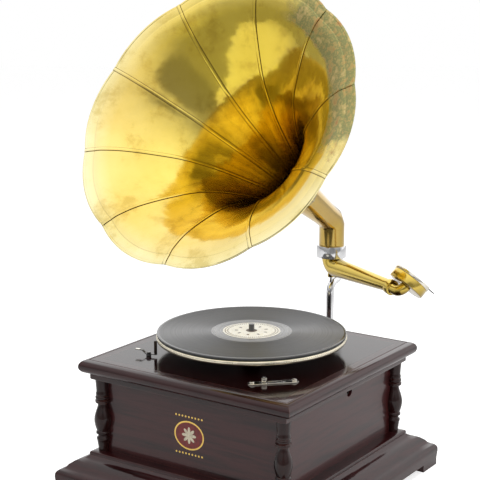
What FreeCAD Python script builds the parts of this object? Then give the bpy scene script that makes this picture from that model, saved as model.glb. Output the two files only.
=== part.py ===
"""A table gramophone: a moulded wooden cabinet with turned corner pillars, a spring motor that
drives the turntable, a swinging tone arm with its soundbox, and a ten-petal brass horn.
Millimetres, +Z up, the cabinet's back towards +Y. The pieces are drawn about the spindle, on the
floor, and written about the middle of the floor space that the whole takes up."""

import FreeCAD, Part
import math
import os
import re
import Sketcher
from FreeCAD import Placement, Rotation, Vector

# Driving sizes of the object, kept in the document's sheet under these names.
SIZES = {
    # Cabinet: a stepped plinth, four boards, four turned pillars, a frieze and a round-edged top.
    "plinth_width": 372, "plinth_height": 53, "plinth_top_width": 302, "plinth_opening": 250,
    "foot_height": 10, "foot_length": 40, "base_board_thick": 6,
    "case_width": 274, "case_board_thick": 12, "case_height": 98,
    "pillar_radius": 11.5, "pillar_offset": 140, "frieze_thick": 9, "frieze_width": 302,
    "top_width": 324, "top_thick": 18, "top_edge_wide": 22, "top_quirk": 1.2,
    # Running and seating clearances, and the length by which a cut runs past its piece.
    "running_gap": 0.05, "seat_gap": 0.3, "cut_overrun": 4,
    # Turntable: pressed platter, felt, record with its paper label, and the spindle.
    "platter_radius": 126, "platter_thick": 2.5, "platter_lip": 6, "platter_lip_thick": 2,
    "platter_hub_radius": 12, "platter_hub_height": 14, "platter_lift": 17.8,
    "felt_thick": 1.5, "record_radius": 125, "record_thick": 2.4, "label_radius": 38,
    "label_thick": 0.2, "spindle_radius": 4, "spindle_pin_radius": 3.6, "spindle_pin_height": 9,
    "record_hole_radius": 3.9,
    "spindle_collar_radius": 7, "bush_radius": 8, "bush_flange_radius": 13, "bush_flange_thick": 2,
    # Motor: two plates on posts under the motor board, with an upright gear train between them.
    "motor_plate_thick": 2.5, "motor_plate_left": 44, "motor_plate_right": 94,
    "motor_plate_front": 46, "motor_plate_back": 64, "motor_post_inset": 7, "motor_post_radius": 4,
    "motor_drop": 10.5, "motor_room": 67, "gear_module": 0.8, "gear_thick": 4,
    "barrel_along": 50, "barrel_radius": 30, "barrel_height": 31, "barrel_wall": 1.5,
    "barrel_lift": 16, "barrel_arbor_radius": 4, "spring_thick": 0.9, "spring_pitch": 2.4,
    "wheel_thick": 3, "intermediate_radius": 2, "intermediate_lift": 6, "governor_radius": 1.5,
    "governor_wheel_lift": 38, "governor_disc_radius": 13, "governor_disc_thick": 2,
    "governor_collar_radius": 4, "governor_collar_high": 4, "governor_spring_out": 9,
    "governor_spring_wide": 3.5, "governor_spring_thick": 0.8, "governor_weight_radius": 3.2,
    "governor_weight_long": 4, "governor_foot": 6, "governor_disc_drop": 3, "arbor_end": 0.5,
    # Winding: a shaft through the right board, its pinion and a crown wheel on the barrel arbor.
    "winding_back": 22, "winding_height": 141, "winding_radius": 5, "winding_hole_radius": 6.5,
    "winding_core_radius": 3.2, "winding_bore_radius": 3, "winding_bore_deep": 20, "winding_recess": 3,
    "crown_ring_radius": 17.5, "crown_leaf_over": 0.9, "crown_tooth_long": 4, "crown_thick": 2.5,
    "crown_pinion_wide": 3.6, "bearing_wall": 3, "bearing_long": 8,
    # Speed regulator: a graduated plate by the platter, a lever below the board and its felt pad.
    "speed_reach": 138, "speed_turn": 45, "speed_plate_long": 64, "speed_plate_wide": 11,
    "speed_plate_thick": 1.2, "speed_screw_radius": 3, "speed_screw_high": 2.2, "speed_screw_inset": 5.5,
    "speed_arm_long": 40, "speed_arm_half": 4, "speed_arm_thick": 2.5, "speed_arm_drop": 2.3,
    "speed_pin_radius": 2, "speed_knob_radius": 3.6, "speed_knob_high": 4.5, "speed_knob_gap": 1,
    "speed_slot_turn": 20, "speed_rest_turn": 16, "speed_tube_radius": 5, "speed_post_radius": 3,
    "speed_post_socket": 8, "speed_head_radius": 5, "speed_head_high": 2.5, "speed_pad_long": 4,
    # Brake: a small lever on the board whose leather pad stops the platter's lip.
    "brake_bearing": 47, "brake_turn": 12, "brake_pad_arm": 10, "brake_handle": 16, "brake_half": 1.9,
    "brake_thick": 1.2, "brake_post_radius": 1.6, "brake_boss_radius": 3.2, "brake_boss_high": 2.7,
    "brake_head_radius": 2.8, "brake_head_high": 1.2, "brake_pad_radius": 2, "brake_pad_high": 17,
    "brake_grip_radius": 1.9, "brake_grip_high": 1.2,
    # Bracket behind the cabinet: back plate, bent arm and the collar that holds arm and horn.
    "pivot_back": 205, "collar_low": 268, "collar_high": 17, "collar_radius": 21, "collar_step": 8.5,
    "bracket_arm_radius": 5.5, "bracket_arm_height": 118, "bracket_post_back": 2, "bracket_bend": 20,
    "bracket_crank_low": 14, "bracket_crank_high": 9, "bracket_plate_wide": 44,
    "bracket_plate_high": 56, "bracket_plate_thick": 5, "bracket_plate_round": 12,
    "bracket_screw_radius": 3, "bracket_screw_high": 2.4, "bracket_screw_rise": 18, "bracket_screw_out": 13,
    "pin_radius": 2, "pin_deep": 5, "bracket_clear": 2.5, "bracket_tuck": 1,
    # Tone arm: a tapered tube that turns in the collar, and the crook that carries the soundbox.
    "arm_height": 254, "arm_radius": 13.5, "arm_end_radius": 8.5, "arm_wall": 1.2, "arm_long": 136,
    "arm_droop_angle": 9, "arm_turn": 25, "arm_boss_radius": 5, "arm_boss_low": 238, "arm_spigot": 6.5,
    "crook_sleeve_radius": 10.5, "crook_sleeve_long": 8, "crook_end_thick": 2, "crook_radius": 7.5,
    "crook_wall": 1.2, "crook_bend": 11, "crook_reach": 27, "crook_turn": 48,
    "box_radius": 26, "box_deep": 12, "box_back": 3, "box_bore": 22.5, "box_ring_radius": 27,
    "box_ring_deep": 4, "box_ring_bore": 20, "diaphragm_thick": 0.8, "stylus_wide": 3,
    "stylus_thick": 2, "stylus_foot_radius": 1.2, "chuck_radius": 3, "chuck_start": 22,
    "chuck_long": 10, "needle_radius": 0.8, "needle_point": 4, "needle_lean_angle": 25, "needle_gap": 0.4,
    # Horn: a three-piece mitred elbow, a neck and ten petals joined by raised seams.
    "horn_tube_radius": 18, "horn_wall": 1, "horn_axis_height": 321, "horn_lift_angle": 31,
    "horn_yaw_angle": 0.7,
    "elbow_set_back": 7, "elbow_end": 30, "neck_end": 95, "neck_end_radius": 22.6,
    "horn_reach": 335, "rim_radius": 191.5, "petal_thick": 1, "petal_swell": 4.5, "seam_wide": 4,
    "seam_high": 2.6,
}
PETALS = 10
GREAT_TEETH, INTERMEDIATE_LEAVES = 80, 12
INTERMEDIATE_TEETH, SPINDLE_LEAVES = 54, 15
GOVERNOR_TEETH, GOVERNOR_LEAVES = 55, 10
CROWN_TEETH, CROWN_LEAVES = 28, 8
GOVERNOR_WEIGHTS = 3

# Mouldings and turnings as shares: outward or radius, height, and, for a round stretch, its radius
# and its sense, 1 for a hollow's opposite and -1 for a hollow.
PLINTH_SHARES = (
    (0.06, 0.945, 0.07, 1), (0.06, 0.90), (0.28, 0.82, 0.17, -1), (0.62, 0.69, 0.30, 1),
    (0.70, 0.62), (0.80, 0.585), (1.00, 0.38, 0.20, 1), (0.97, 0.0),
)
PILLAR_SHARES = (
    (0.56, 0.0), (0.72, 0.15), (0.77, 0.165), (0.77, 0.185), (0.59, 0.205), (0.59, 0.225),
    (0.82, 0.245), (0.82, 0.268), (0.72, 0.285), (1.00, 0.44, 0.34, 1), (0.55, 0.63, 0.55, 1),
    (0.55, 0.665), (0.85, 0.68), (0.85, 0.71), (0.72, 0.722), (0.81, 0.735), (0.81, 0.76),
    (0.70, 0.772), (0.76, 0.785), (0.76, 0.81), (0.70, 0.822), (0.80, 1.0),
)
# The horn's profile: shares of its reach along the axis and of its rim radius.
HORN_SHARES = (
    (0.2836, 0.1086), (0.34, 0.145), (0.45, 0.207), (0.615, 0.311), (0.757, 0.44), (0.858, 0.595),
    (0.94, 0.751), (0.982, 0.87), (0.996, 0.95), (1.0, 1.0),
)
STATIONS = 15
QUARTER_TURN = 90
PETAL_STEPS = 8
WHEEL_ADDENDUM_SHARE = 0.6
LEAF_ADDENDUM_SHARE = 0.9
DEDENDUM_SHARE = 1.2
TOOTH_WIDTH_SHARE = 0.42
CROWN_TOOTH_SHARE = 0.36
LEAF_WIDTH_SHARE = 0.30
PRESSURE_ANGLE = 20

doc = FreeCAD.newDocument("gramophone")
sheet = doc.addObject("Spreadsheet::Sheet", "Sizes")
for row, (name, number) in enumerate(SIZES.items(), start=1):
    sheet.set(f"A{row}", name)
    sheet.set(f"B{row}", str(number))
    sheet.setAlias(f"B{row}", name)
reader = doc.addObject("App::FeaturePython", "Reader")
doc.recompute()
PIECES = []
FUNCTIONS = ("sin", "cos", "sqrt")


def bound(formula):
    """Writes a formula of size names in the sheet's own references."""
    return re.sub(r"[a-z]\w+", lambda word: word[0] if word[0] in FUNCTIONS else "Sizes." + word[0],
                  formula)


def size(formula):
    """The number that a formula of size names comes to."""
    return float(reader.evalExpression(bound(formula)))


# Heights that several pieces share, written in the driving sizes.
CASE_TOP = "(plinth_height + case_height)"
BOARD_LOW = "(plinth_height + case_height + frieze_thick)"
BOARD_TOP = "(plinth_height + case_height + frieze_thick + top_thick)"
PLATTER_LOW = f"({BOARD_TOP} + platter_lift)"
PLATTER_TOP = f"({PLATTER_LOW} + platter_lip)"
RECORD_LOW = f"({PLATTER_TOP} + felt_thick)"
RECORD_TOP = f"({RECORD_LOW} + record_thick)"
UPPER_PLATE = f"({BOARD_LOW} - motor_drop - motor_plate_thick)"
LOWER_PLATE = f"({UPPER_PLATE} - motor_room - motor_plate_thick)"
MOTOR_FLOOR = f"({LOWER_PLATE} + motor_plate_thick)"


def keep(obj, name):
    """Gives a finished piece the name of its file."""
    obj.Label = name
    PIECES.append(obj)
    return obj


def place(obj, x="0", y="0", z="0", turn=None):
    """Sets a piece down at a point written in size names, turned about the upright."""
    if turn is not None:
        obj.Placement = Placement(Vector(), Rotation(Vector(0, 0, 1), turn))
    for axis, formula in zip("xyz", (x, y, z)):
        obj.setExpression(f"Placement.Base.{axis}", bound(formula))
    return obj


def new_sketch(body, plane, offset=None):
    """A sketch on one of the body's own planes, set off along that plane's normal if asked."""
    sketch = body.newObject("Sketcher::SketchObject", body.Name + "_outline")
    support = next(p for p in body.Origin.OriginFeatures if p.Role == plane)
    sketch.AttachmentSupport = [(support, "")]
    sketch.MapMode = "FlatFace"
    if offset:
        sketch.setExpression("AttachmentOffset.Base.z", bound(offset))
    return sketch


def hold(sketch, kind, *geometry, formula):
    """Adds one dimension to a sketch and ties it to the sheet."""
    number = sketch.addConstraint(Sketcher.Constraint(kind, *geometry, size(formula)))
    sketch.setExpression(f"Constraints[{number}]", bound(formula))


def add_loop(sketch, corners, closed=True):
    """Draws a line of corners, each (across, up), or (across, up, radius, sense) where a round
    stretch ends there: sense 1 turns anticlockwise and -1 clockwise. A half-circle also gives its
    centre's place across."""
    points = [Vector(size(corner[0]), size(corner[1]), 0) for corner in corners]
    ends = []
    for i, corner in enumerate(corners):
        if i == 0 and not closed:
            ends.append(None)
            continue
        start, end = points[i - 1], points[i]
        if len(corner) == 2:
            ends.append((sketch.addGeometry(Part.LineSegment(start, end)), 1, 2))
            continue
        radius, sense = size(corner[2]), corner[3]
        chord = end - start
        rise = math.sqrt(max(radius**2 - (chord.Length / 2) ** 2, 0))
        left = Vector(-chord.y, chord.x, 0).normalize()
        centre = (start + end) * 0.5 + left * rise * sense
        first, last = (start, end) if sense > 0 else (end, start)
        angles = [math.atan2(p.y - centre.y, p.x - centre.x) for p in (first, last)]
        arc = Part.ArcOfCircle(Part.Circle(centre, Vector(0, 0, 1), radius), *angles)
        ends.append((sketch.addGeometry(arc), 1, 2) if sense > 0 else (sketch.addGeometry(arc), 2, 1))
    for i, corner in enumerate(corners):
        following = ends[(i + 1) % len(corners)]
        if ends[i] and following:
            sketch.addConstraint(Sketcher.Constraint("Coincident", ends[i][0], ends[i][2], *following[:2]))
        geometry, point = (ends[i][0], ends[i][2]) if ends[i] else following[:2]
        hold(sketch, "DistanceX", -1, 1, geometry, point, formula=corner[0])
        hold(sketch, "DistanceY", -1, 1, geometry, point, formula=corner[1])
        if len(corner) == 4:
            hold(sketch, "Radius", geometry, formula=corner[2])
        if len(corner) == 5:
            hold(sketch, "DistanceX", -1, 1, geometry, 3, formula=corner[4])
    return sketch


def add_circle(sketch, radius, across="0", up="0"):
    """Draws a circle tied to the sheet."""
    centre = Vector(size(across), size(up), 0)
    geometry = sketch.addGeometry(Part.Circle(centre, Vector(0, 0, 1), size(radius)))
    hold(sketch, "Radius", geometry, formula=radius)
    hold(sketch, "DistanceX", -1, 1, geometry, 3, formula=across)
    hold(sketch, "DistanceY", -1, 1, geometry, 3, formula=up)
    return sketch


def add_feature(body, kind, sketch, **settings):
    """Adds a feature made from a sketch and makes it the body's tip."""
    feature = body.newObject("PartDesign::" + kind, body.Name + "_" + kind.lower())
    feature.Profile = sketch
    for setting, number in settings.items():
        if setting == "Length":
            feature.setExpression("Length", bound(number))
        else:
            setattr(feature, setting, number)
    body.Tip = feature
    return feature


def new_body(name):
    return keep(doc.addObject("PartDesign::Body", name), name)


def turned(name, corners, alone=True):
    """A piece made on the lathe: an outline of radius and height, turned once about its axis."""
    body = new_body(name) if alone else doc.addObject("PartDesign::Body", name)
    sketch = add_loop(new_sketch(body, "XZ_Plane"), corners)
    add_feature(body, "Revolution", sketch, ReferenceAxis=(sketch, ["V_Axis"]), Angle=360)
    return body


def ring_corners(inner, outer, low, high):
    """The outline of a plain turned ring."""
    return [(inner, low), (outer, low), (outer, high), (inner, high)]


def block(across, along, high, x, y, z):
    """A rectangular board from its sizes and its lowest corner."""
    box = doc.addObject("Part::Box", "block")
    for side, formula in zip(("Length", "Width", "Height"), (across, along, high)):
        box.setExpression(side, bound(formula))
    return place(box, x, y, z)


def rod(radius, high, x="0", y="0", z="0", tilt=None):
    """A round bar standing on a point, or tilted about it."""
    cylinder = doc.addObject("Part::Cylinder", "rod")
    cylinder.setExpression("Radius", bound(radius))
    cylinder.setExpression("Height", bound(high))
    if tilt:
        cylinder.Placement = Placement(Vector(), tilt)
    return place(cylinder, x, y, z)


def cut(base, tool):
    piece = doc.addObject("Part::Cut", "cut")
    piece.Base, piece.Tool = base, tool
    return piece


def group(shapes, name):
    """Separate solids that share one name, such as a set of screws."""
    piece = doc.addObject("Part::Compound", name)
    piece.Links = shapes
    return keep(piece, name)


def solid(name, shape, placement=None):
    """A piece whose form is worked out here, point by point or by sweeping."""
    piece = doc.addObject("Part::Feature", name)
    piece.Shape = shape
    if placement:
        piece.Placement = placement
    return keep(piece, name)


# Cabinet

def rail(name, quarter, corners, width, opening):
    """One side of a moulded frame: a section run along the side and mitred at both ends."""
    body = new_body(name)
    section = add_loop(new_sketch(body, "YZ_Plane"), corners)
    add_feature(body, "Pad", section, Length=width, SideType="Symmetric")
    mitre = new_sketch(body, "XY_Plane")
    for side in ("", "-"):
        add_loop(mitre, [
            (f"{side}({opening} / 2 - cut_overrun)", f"-{opening} / 2 + cut_overrun"),
            (f"{side}({width} / 2 + cut_overrun)", f"-{width} / 2 - cut_overrun"),
            (f"{side}({width} / 2 + cut_overrun)", f"-{opening} / 2 + cut_overrun"),
        ])
    add_feature(body, "Pocket", mitre, Type="ThroughAll", SideType="Symmetric")
    body.Placement = Placement(Vector(), Rotation(Vector(0, 0, 1), quarter * 90))
    return body


def plinth_section():
    """The plinth's section from its inner face out over bead, hollow, round and nose."""
    corners = [("-plinth_opening / 2", "0"), ("-plinth_opening / 2", "plinth_height"),
               ("-plinth_top_width / 2", "plinth_height")]
    for out, up, *bow in PLINTH_SHARES:
        across = f"-plinth_top_width / 2 - (plinth_width - plinth_top_width) / 2 * {out}"
        bend = (f"plinth_height * {bow[0]}", bow[1]) if bow else ()
        corners.append((across, f"plinth_height * {up}", *bend))
    return corners


def top_edge_section():
    """The top's round nose, set down by a small quirk from the flat of the board."""
    inner, outer = "-(top_width / 2 - top_edge_wide)", "-top_width / 2"
    nose = f"{outer} + top_thick / 2"
    return [(inner, BOARD_LOW), (inner, BOARD_TOP), (f"{nose} - top_quirk", BOARD_TOP),
            (f"{nose} - top_quirk", f"{BOARD_TOP} - top_quirk"),
            (outer, f"{BOARD_LOW} + top_thick / 2", "top_thick / 2", 1),
            (nose, BOARD_LOW, "top_thick / 2", 1)]


def cabinet():
    for quarter, side in enumerate(("front", "right", "back", "left")):
        plinth = rail("plinth_" + side, quarter, plinth_section(), "plinth_width", "plinth_opening")
        arch = new_sketch(plinth, "XZ_Plane")
        reach = "(plinth_width / 2 - foot_length)"
        add_loop(arch, [(f"-{reach}", "-cut_overrun"), (reach, "-cut_overrun"),
                        (reach, "foot_height"), (f"-{reach}", "foot_height")])
        add_feature(plinth, "Pocket", arch, Type="ThroughAll", SideType="Symmetric")
        rail("top_edge_" + side, quarter, top_edge_section(), "top_width",
             "(top_width - 2 * top_edge_wide)")
    keep(block("plinth_opening", "plinth_opening", "base_board_thick", "-plinth_opening / 2",
               "-plinth_opening / 2", "foot_height"), "base_board")

    inner = "(case_width / 2 - case_board_thick)"
    for side, y in (("front", "-case_width / 2"), ("back", inner)):
        keep(block("case_width", "case_board_thick", "case_height", "-case_width / 2", y,
                   "plinth_height"), "case_" + side)
    for side, x in (("left", "-case_width / 2"), ("right", inner)):
        board = block("case_board_thick", f"2 * {inner}", "case_height", x, f"-{inner}", "plinth_height")
        if side == "right":
            hole = rod("winding_hole_radius", "case_board_thick + 2 * cut_overrun", f"{inner} - cut_overrun",
                       "winding_back", "winding_height", Rotation(Vector(0, 1, 0), 90))
            board = cut(board, hole)
        keep(board, "case_" + side)

    corners = [("0", "0")]
    for radius, up, *bow in PILLAR_SHARES:
        bend = (f"case_height * {bow[0]}", bow[1]) if bow else ()
        corners.append((f"pillar_radius * {radius}", f"case_height * {up}", *bend))
    corners.append(("0", "case_height"))
    pillars = []
    for x in ("-pillar_offset", "pillar_offset"):
        for y in ("-pillar_offset", "pillar_offset"):
            column = place(turned("pillar", corners, False), x, y, "plinth_height")
            rebate = block("case_width", "case_width", "case_height", "-case_width / 2", "-case_width / 2",
                           "plinth_height")
            pillars.append(cut(column, rebate))
    group(pillars, "corner_pillars")

    frieze = block("frieze_width", "frieze_width", "frieze_thick", "-frieze_width / 2",
                   "-frieze_width / 2", CASE_TOP)
    well = block("plinth_opening", "plinth_opening", "frieze_thick + 2 * cut_overrun",
                 "-plinth_opening / 2", "-plinth_opening / 2", f"{CASE_TOP} - cut_overrun")
    keep(cut(frieze, well), "frieze_board")


def motor_board():
    """The board that carries everything: bored for the spindle bush and the speed lever's screw,
    with a curved slot for the lever's pin."""
    body = new_body("motor_board")
    half = "(top_width / 2 - top_edge_wide)"
    sketch = new_sketch(body, "XY_Plane")
    add_loop(sketch, [(f"-{half}", f"-{half}"), (half, f"-{half}"), (half, half), (f"-{half}", half)])
    add_circle(sketch, "bush_radius")
    add_feature(body, "Pad", sketch, Length="top_thick")
    place(body, z=BOARD_LOW)
    socket = add_circle(new_sketch(body, "XY_Plane"), "speed_post_radius", *SPEED_PIVOT)
    add_feature(body, "Pocket", socket, Length="speed_post_socket", Reversed=True)
    slot = add_loop(new_sketch(body, "XY_Plane"), slot_corners(*SPEED_PIVOT, "-speed_turn"))
    add_feature(body, "Pocket", slot, Type="ThroughAll", Reversed=True)
    bore = "spindle_radius + running_gap"
    turned("spindle_bush", [
        (bore, BOARD_LOW), ("bush_radius", BOARD_LOW), ("bush_radius", BOARD_TOP),
        ("bush_flange_radius", BOARD_TOP), ("bush_flange_radius", f"{BOARD_TOP} + bush_flange_thick"),
        (bore, f"{BOARD_TOP} + bush_flange_thick")])


# Speed regulator

SPEED_PIVOT = ("(speed_reach - speed_arm_long) * cos(speed_turn)",
               "-(speed_reach - speed_arm_long) * sin(speed_turn)")


def slot_corners(x, y, bearing):
    """A curved slot about the lever's pivot, wide enough for its pin over the whole swing."""
    outer = "(speed_arm_long + speed_pin_radius + seat_gap)"
    inner = "(speed_arm_long - speed_pin_radius - seat_gap)"
    corners = []
    for radius, side, *bow in ((outer, "-"), (outer, "+", outer, 1), (inner, "+"), (inner, "-", inner, -1)):
        angle = f"({bearing} {side} speed_slot_turn)"
        corners.append((f"{x} + {radius} * cos{angle}", f"{y} + {radius} * sin{angle}", *bow))
    return corners


def arm_outline(body, near, far, half, offset=None):
    """A flat arm along X from one place to another, round at both ends."""
    return add_loop(new_sketch(body, "XY_Plane", offset), [
        (near, f"-{half}", half, 1, near), (far, f"-{half}"), (far, half, half, 1, far), (near, half)])


def speed_regulator():
    plate = new_body("speed_plate")
    middle = "(speed_plate_long / 2 - speed_plate_wide / 2)"
    sketch = arm_outline(plate, f"-{middle}", middle, "speed_plate_wide / 2")
    add_loop(sketch, slot_corners("0", "speed_arm_long", "-90"))
    add_feature(plate, "Pad", sketch, Length="speed_plate_thick")
    spot = ("speed_reach * cos(speed_turn)", "-speed_reach * sin(speed_turn)")
    place(plate, *spot, BOARD_TOP, turn=QUARTER_TURN - size("speed_turn"))
    screws = []
    for side in ("+", "-"):
        out = "(speed_plate_long / 2 - speed_screw_inset)"
        dome = rod("speed_screw_radius", "speed_screw_high", f"{spot[0]} {side} {out} * sin(speed_turn)",
                   f"{spot[1]} {side} {out} * cos(speed_turn)", f"{BOARD_TOP} + speed_plate_thick")
        screws.append(dome)
    group(screws, "speed_plate_screws")

    tube_low = f"({BOARD_LOW} - speed_arm_drop - speed_arm_thick - {SPEED_TUBE})"
    head_low = f"({tube_low} - seat_gap - speed_head_high)"
    post = turned("speed_post", [
        ("0", head_low), ("speed_head_radius", head_low),
        ("speed_head_radius", f"{head_low} + speed_head_high"),
        ("speed_post_radius", f"{head_low} + speed_head_high"),
        ("speed_post_radius", f"{BOARD_LOW} + speed_post_socket"),
        ("0", f"{BOARD_LOW} + speed_post_socket")])
    place(post, *SPEED_PIVOT)

    lever = new_body("speed_lever")
    arm = arm_outline(lever, "0", "speed_arm_long", "speed_arm_half")
    add_feature(lever, "Pad", arm, Length="speed_arm_thick", Reversed=True)
    pin = add_circle(new_sketch(lever, "XY_Plane"), "speed_pin_radius", "speed_arm_long")
    stem = "speed_arm_drop + top_thick + speed_plate_thick + speed_knob_gap"
    add_feature(lever, "Pad", pin, Length=f"{stem} + speed_knob_high")
    knob = add_circle(new_sketch(lever, "XY_Plane", stem), "speed_knob_radius", "speed_arm_long")
    add_feature(lever, "Pad", knob, Length="speed_knob_high")
    tube = add_circle(new_sketch(lever, "XY_Plane"), "speed_tube_radius")
    add_feature(lever, "Pad", tube, Length=f"speed_arm_thick + {SPEED_TUBE}", Reversed=True)
    inner = new_sketch(lever, "XY_Plane", f"-(speed_arm_thick + {SPEED_TUBE})")
    bearing = "(180 + speed_rest_turn)"
    along, across = f"cos{bearing}", f"sin{bearing}"
    reach = f"({GOVERNOR_GAP} - governor_disc_radius - seat_gap - speed_pad_long)"
    add_loop(inner, [
        (f"-speed_arm_half * {across}", f"speed_arm_half * {along}"),
        (f"speed_arm_half * {across}", f"-speed_arm_half * {along}"),
        (f"{reach} * {along} + speed_arm_half * {across}", f"{reach} * {across} - speed_arm_half * {along}"),
        (f"{reach} * {along} - speed_arm_half * {across}", f"{reach} * {across} + speed_arm_half * {along}")])
    add_feature(lever, "Pad", inner, Length="governor_disc_thick")
    bore = add_circle(new_sketch(lever, "XY_Plane"), "speed_post_radius + running_gap")
    add_feature(lever, "Pocket", bore, Type="ThroughAll", SideType="Symmetric")
    place(lever, *SPEED_PIVOT, f"{BOARD_LOW} - speed_arm_drop",
          turn=-size("speed_turn + speed_rest_turn"))
    pad = block("speed_pad_long", "2 * speed_arm_half", "governor_disc_thick", "0", "0", "0")
    place(pad, f"{SPEED_PIVOT[0]} - {reach} * cos(speed_turn) + speed_arm_half * sin(speed_turn)",
          f"{SPEED_PIVOT[1]} + {reach} * sin(speed_turn) + speed_arm_half * cos(speed_turn)", tube_low,
          turn=2 * QUARTER_TURN - size("speed_turn"))
    keep(pad, "friction_pad")


# Brake

def brake():
    ring = "(platter_radius + seat_gap + brake_pad_radius)"
    pad_x, pad_y = f"-{ring} * cos(brake_bearing)", f"-{ring} * sin(brake_bearing)"
    spot = (f"{pad_x} - brake_pad_arm * cos(brake_turn)", f"{pad_y} - brake_pad_arm * sin(brake_turn)")
    step = f"{BOARD_TOP} + brake_boss_high"
    top = f"{step} + brake_thick + 2 * seat_gap"
    post = turned("brake_post", [
        ("0", BOARD_TOP), ("brake_boss_radius", BOARD_TOP), ("brake_boss_radius", step),
        ("brake_post_radius", step), ("brake_post_radius", top), ("brake_head_radius", top),
        ("brake_head_radius", f"{top} + brake_head_high"), ("0", f"{top} + brake_head_high")])
    place(post, *spot)
    lever = new_body("brake_lever")
    outline = arm_outline(lever, "-brake_handle", "brake_pad_arm", "brake_half")
    add_feature(lever, "Pad", outline, Length="brake_thick")
    eye = add_circle(new_sketch(lever, "XY_Plane"), "brake_post_radius + 2 * brake_thick")
    add_feature(lever, "Pad", eye, Length="brake_thick")
    grip = add_circle(new_sketch(lever, "XY_Plane"), "brake_grip_radius", "-brake_handle")
    add_feature(lever, "Pad", grip, Length="brake_thick + brake_grip_high")
    bore = add_circle(new_sketch(lever, "XY_Plane"), "brake_post_radius + running_gap")
    add_feature(lever, "Pocket", bore, Type="ThroughAll", SideType="Symmetric")
    place(lever, *spot, f"{step} + seat_gap", turn=size("brake_turn"))
    pad = rod("brake_pad_radius", "brake_pad_high", pad_x, pad_y, f"{step} + seat_gap + brake_thick")
    keep(pad, "brake_pad")


# Turntable

def turntable():
    lip = "platter_radius - platter_lip_thick"
    web = f"{PLATTER_TOP} - platter_thick"
    turned("platter", [
        ("spindle_radius", f"{PLATTER_TOP} - platter_hub_height"),
        ("platter_hub_radius", f"{PLATTER_TOP} - platter_hub_height"), ("platter_hub_radius", web),
        (lip, web), (lip, PLATTER_LOW), ("platter_radius", PLATTER_LOW),
        ("platter_radius", PLATTER_TOP), ("spindle_radius", PLATTER_TOP)])
    turned("felt_mat", ring_corners("spindle_radius", "record_radius", PLATTER_TOP, RECORD_LOW))
    turned("record", ring_corners("record_hole_radius", "record_radius", RECORD_LOW, RECORD_TOP))
    turned("record_label", ring_corners("record_hole_radius", "label_radius", RECORD_TOP,
                                        f"{RECORD_TOP} + label_thick"))


# Motor

def tooth_points(teeth, module, addendum_share, angle):
    """One tooth's outline by polar points: root, flank, tip, tip, flank, root."""
    pitch_radius = module * teeth / 2
    base = pitch_radius * math.cos(math.radians(PRESSURE_ANGLE))
    tip = pitch_radius + module * addendum_share
    root = pitch_radius - module * DEDENDUM_SHARE
    def involute(radius):
        tangent = math.sqrt(max((radius / base) ** 2 - 1, 0))
        return tangent - math.atan(tangent)
    half = TOOTH_WIDTH_SHARE * math.pi / teeth
    flank = []
    for radius in (root, max(base, root), pitch_radius, (pitch_radius + tip) / 2, tip):
        flank.append((radius, half + involute(pitch_radius) - involute(max(radius, base))))
    if flank[0][0] == flank[1][0]:
        flank.pop(0)
    sides = [(radius, angle - lean) for radius, lean in flank]
    sides += [(radius, angle + lean) for radius, lean in reversed(flank)]
    return [Vector(radius * math.cos(turn), radius * math.sin(turn), 0) for radius, turn in sides]


def gear(teeth, addendum_share, first, low, high, holes=()):
    """A toothed wheel between two heights, with a tooth's middle at the first angle."""
    module = size("gear_module")
    points = []
    for count in range(teeth):
        points += tooth_points(teeth, module, addendum_share, first + 2 * math.pi * count / teeth)
    wheel = Part.Face(Part.makePolygon(points + points[:1])).extrude(Vector(0, 0, high - low))
    wheel.translate(Vector(0, 0, low))
    for radius, x, y in holes:
        wheel = wheel.cut(bar(radius, low - size("cut_overrun"), high + size("cut_overrun"), x, y))
    return wheel


def bar(radius, low, high, x=0, y=0):
    """A plain round bar between two heights."""
    return Part.makeCylinder(radius, high - low, Vector(x, y, low))


def crossing_holes(inner, outer, count):
    """Round lightening holes set evenly in a wheel's web."""
    middle, radius = (inner + outer) / 2, (outer - inner) / 2
    angles = [2 * math.pi * number / count for number in range(count)]
    return [(radius, middle * math.cos(angle), middle * math.sin(angle)) for angle in angles]


def between(first, second):
    """The direction from one axis to another."""
    return math.atan2(second[1] - first[1], second[0] - first[0])


def train_axes():
    """The plan positions of the motor's upright axes, set by the pitch circles that touch."""
    module = size("gear_module")
    barrel = (size("barrel_along"), size("winding_back"))
    near = module * (INTERMEDIATE_TEETH + SPINDLE_LEAVES) / 2
    far = module * (GREAT_TEETH + INTERMEDIATE_LEAVES) / 2
    span = math.hypot(*barrel)
    along = (near**2 - far**2 + span**2) / (2 * span)
    aside = math.sqrt(near**2 - along**2)
    unit = (barrel[0] / span, barrel[1] / span)
    intermediate = (unit[0] * along - unit[1] * aside, unit[1] * along + unit[0] * aside)
    reach = module * (GOVERNOR_TEETH + GOVERNOR_LEAVES) / 2
    bearing = math.radians(size("speed_turn"))
    return barrel, intermediate, (reach * math.cos(bearing), -reach * math.sin(bearing))


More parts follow.
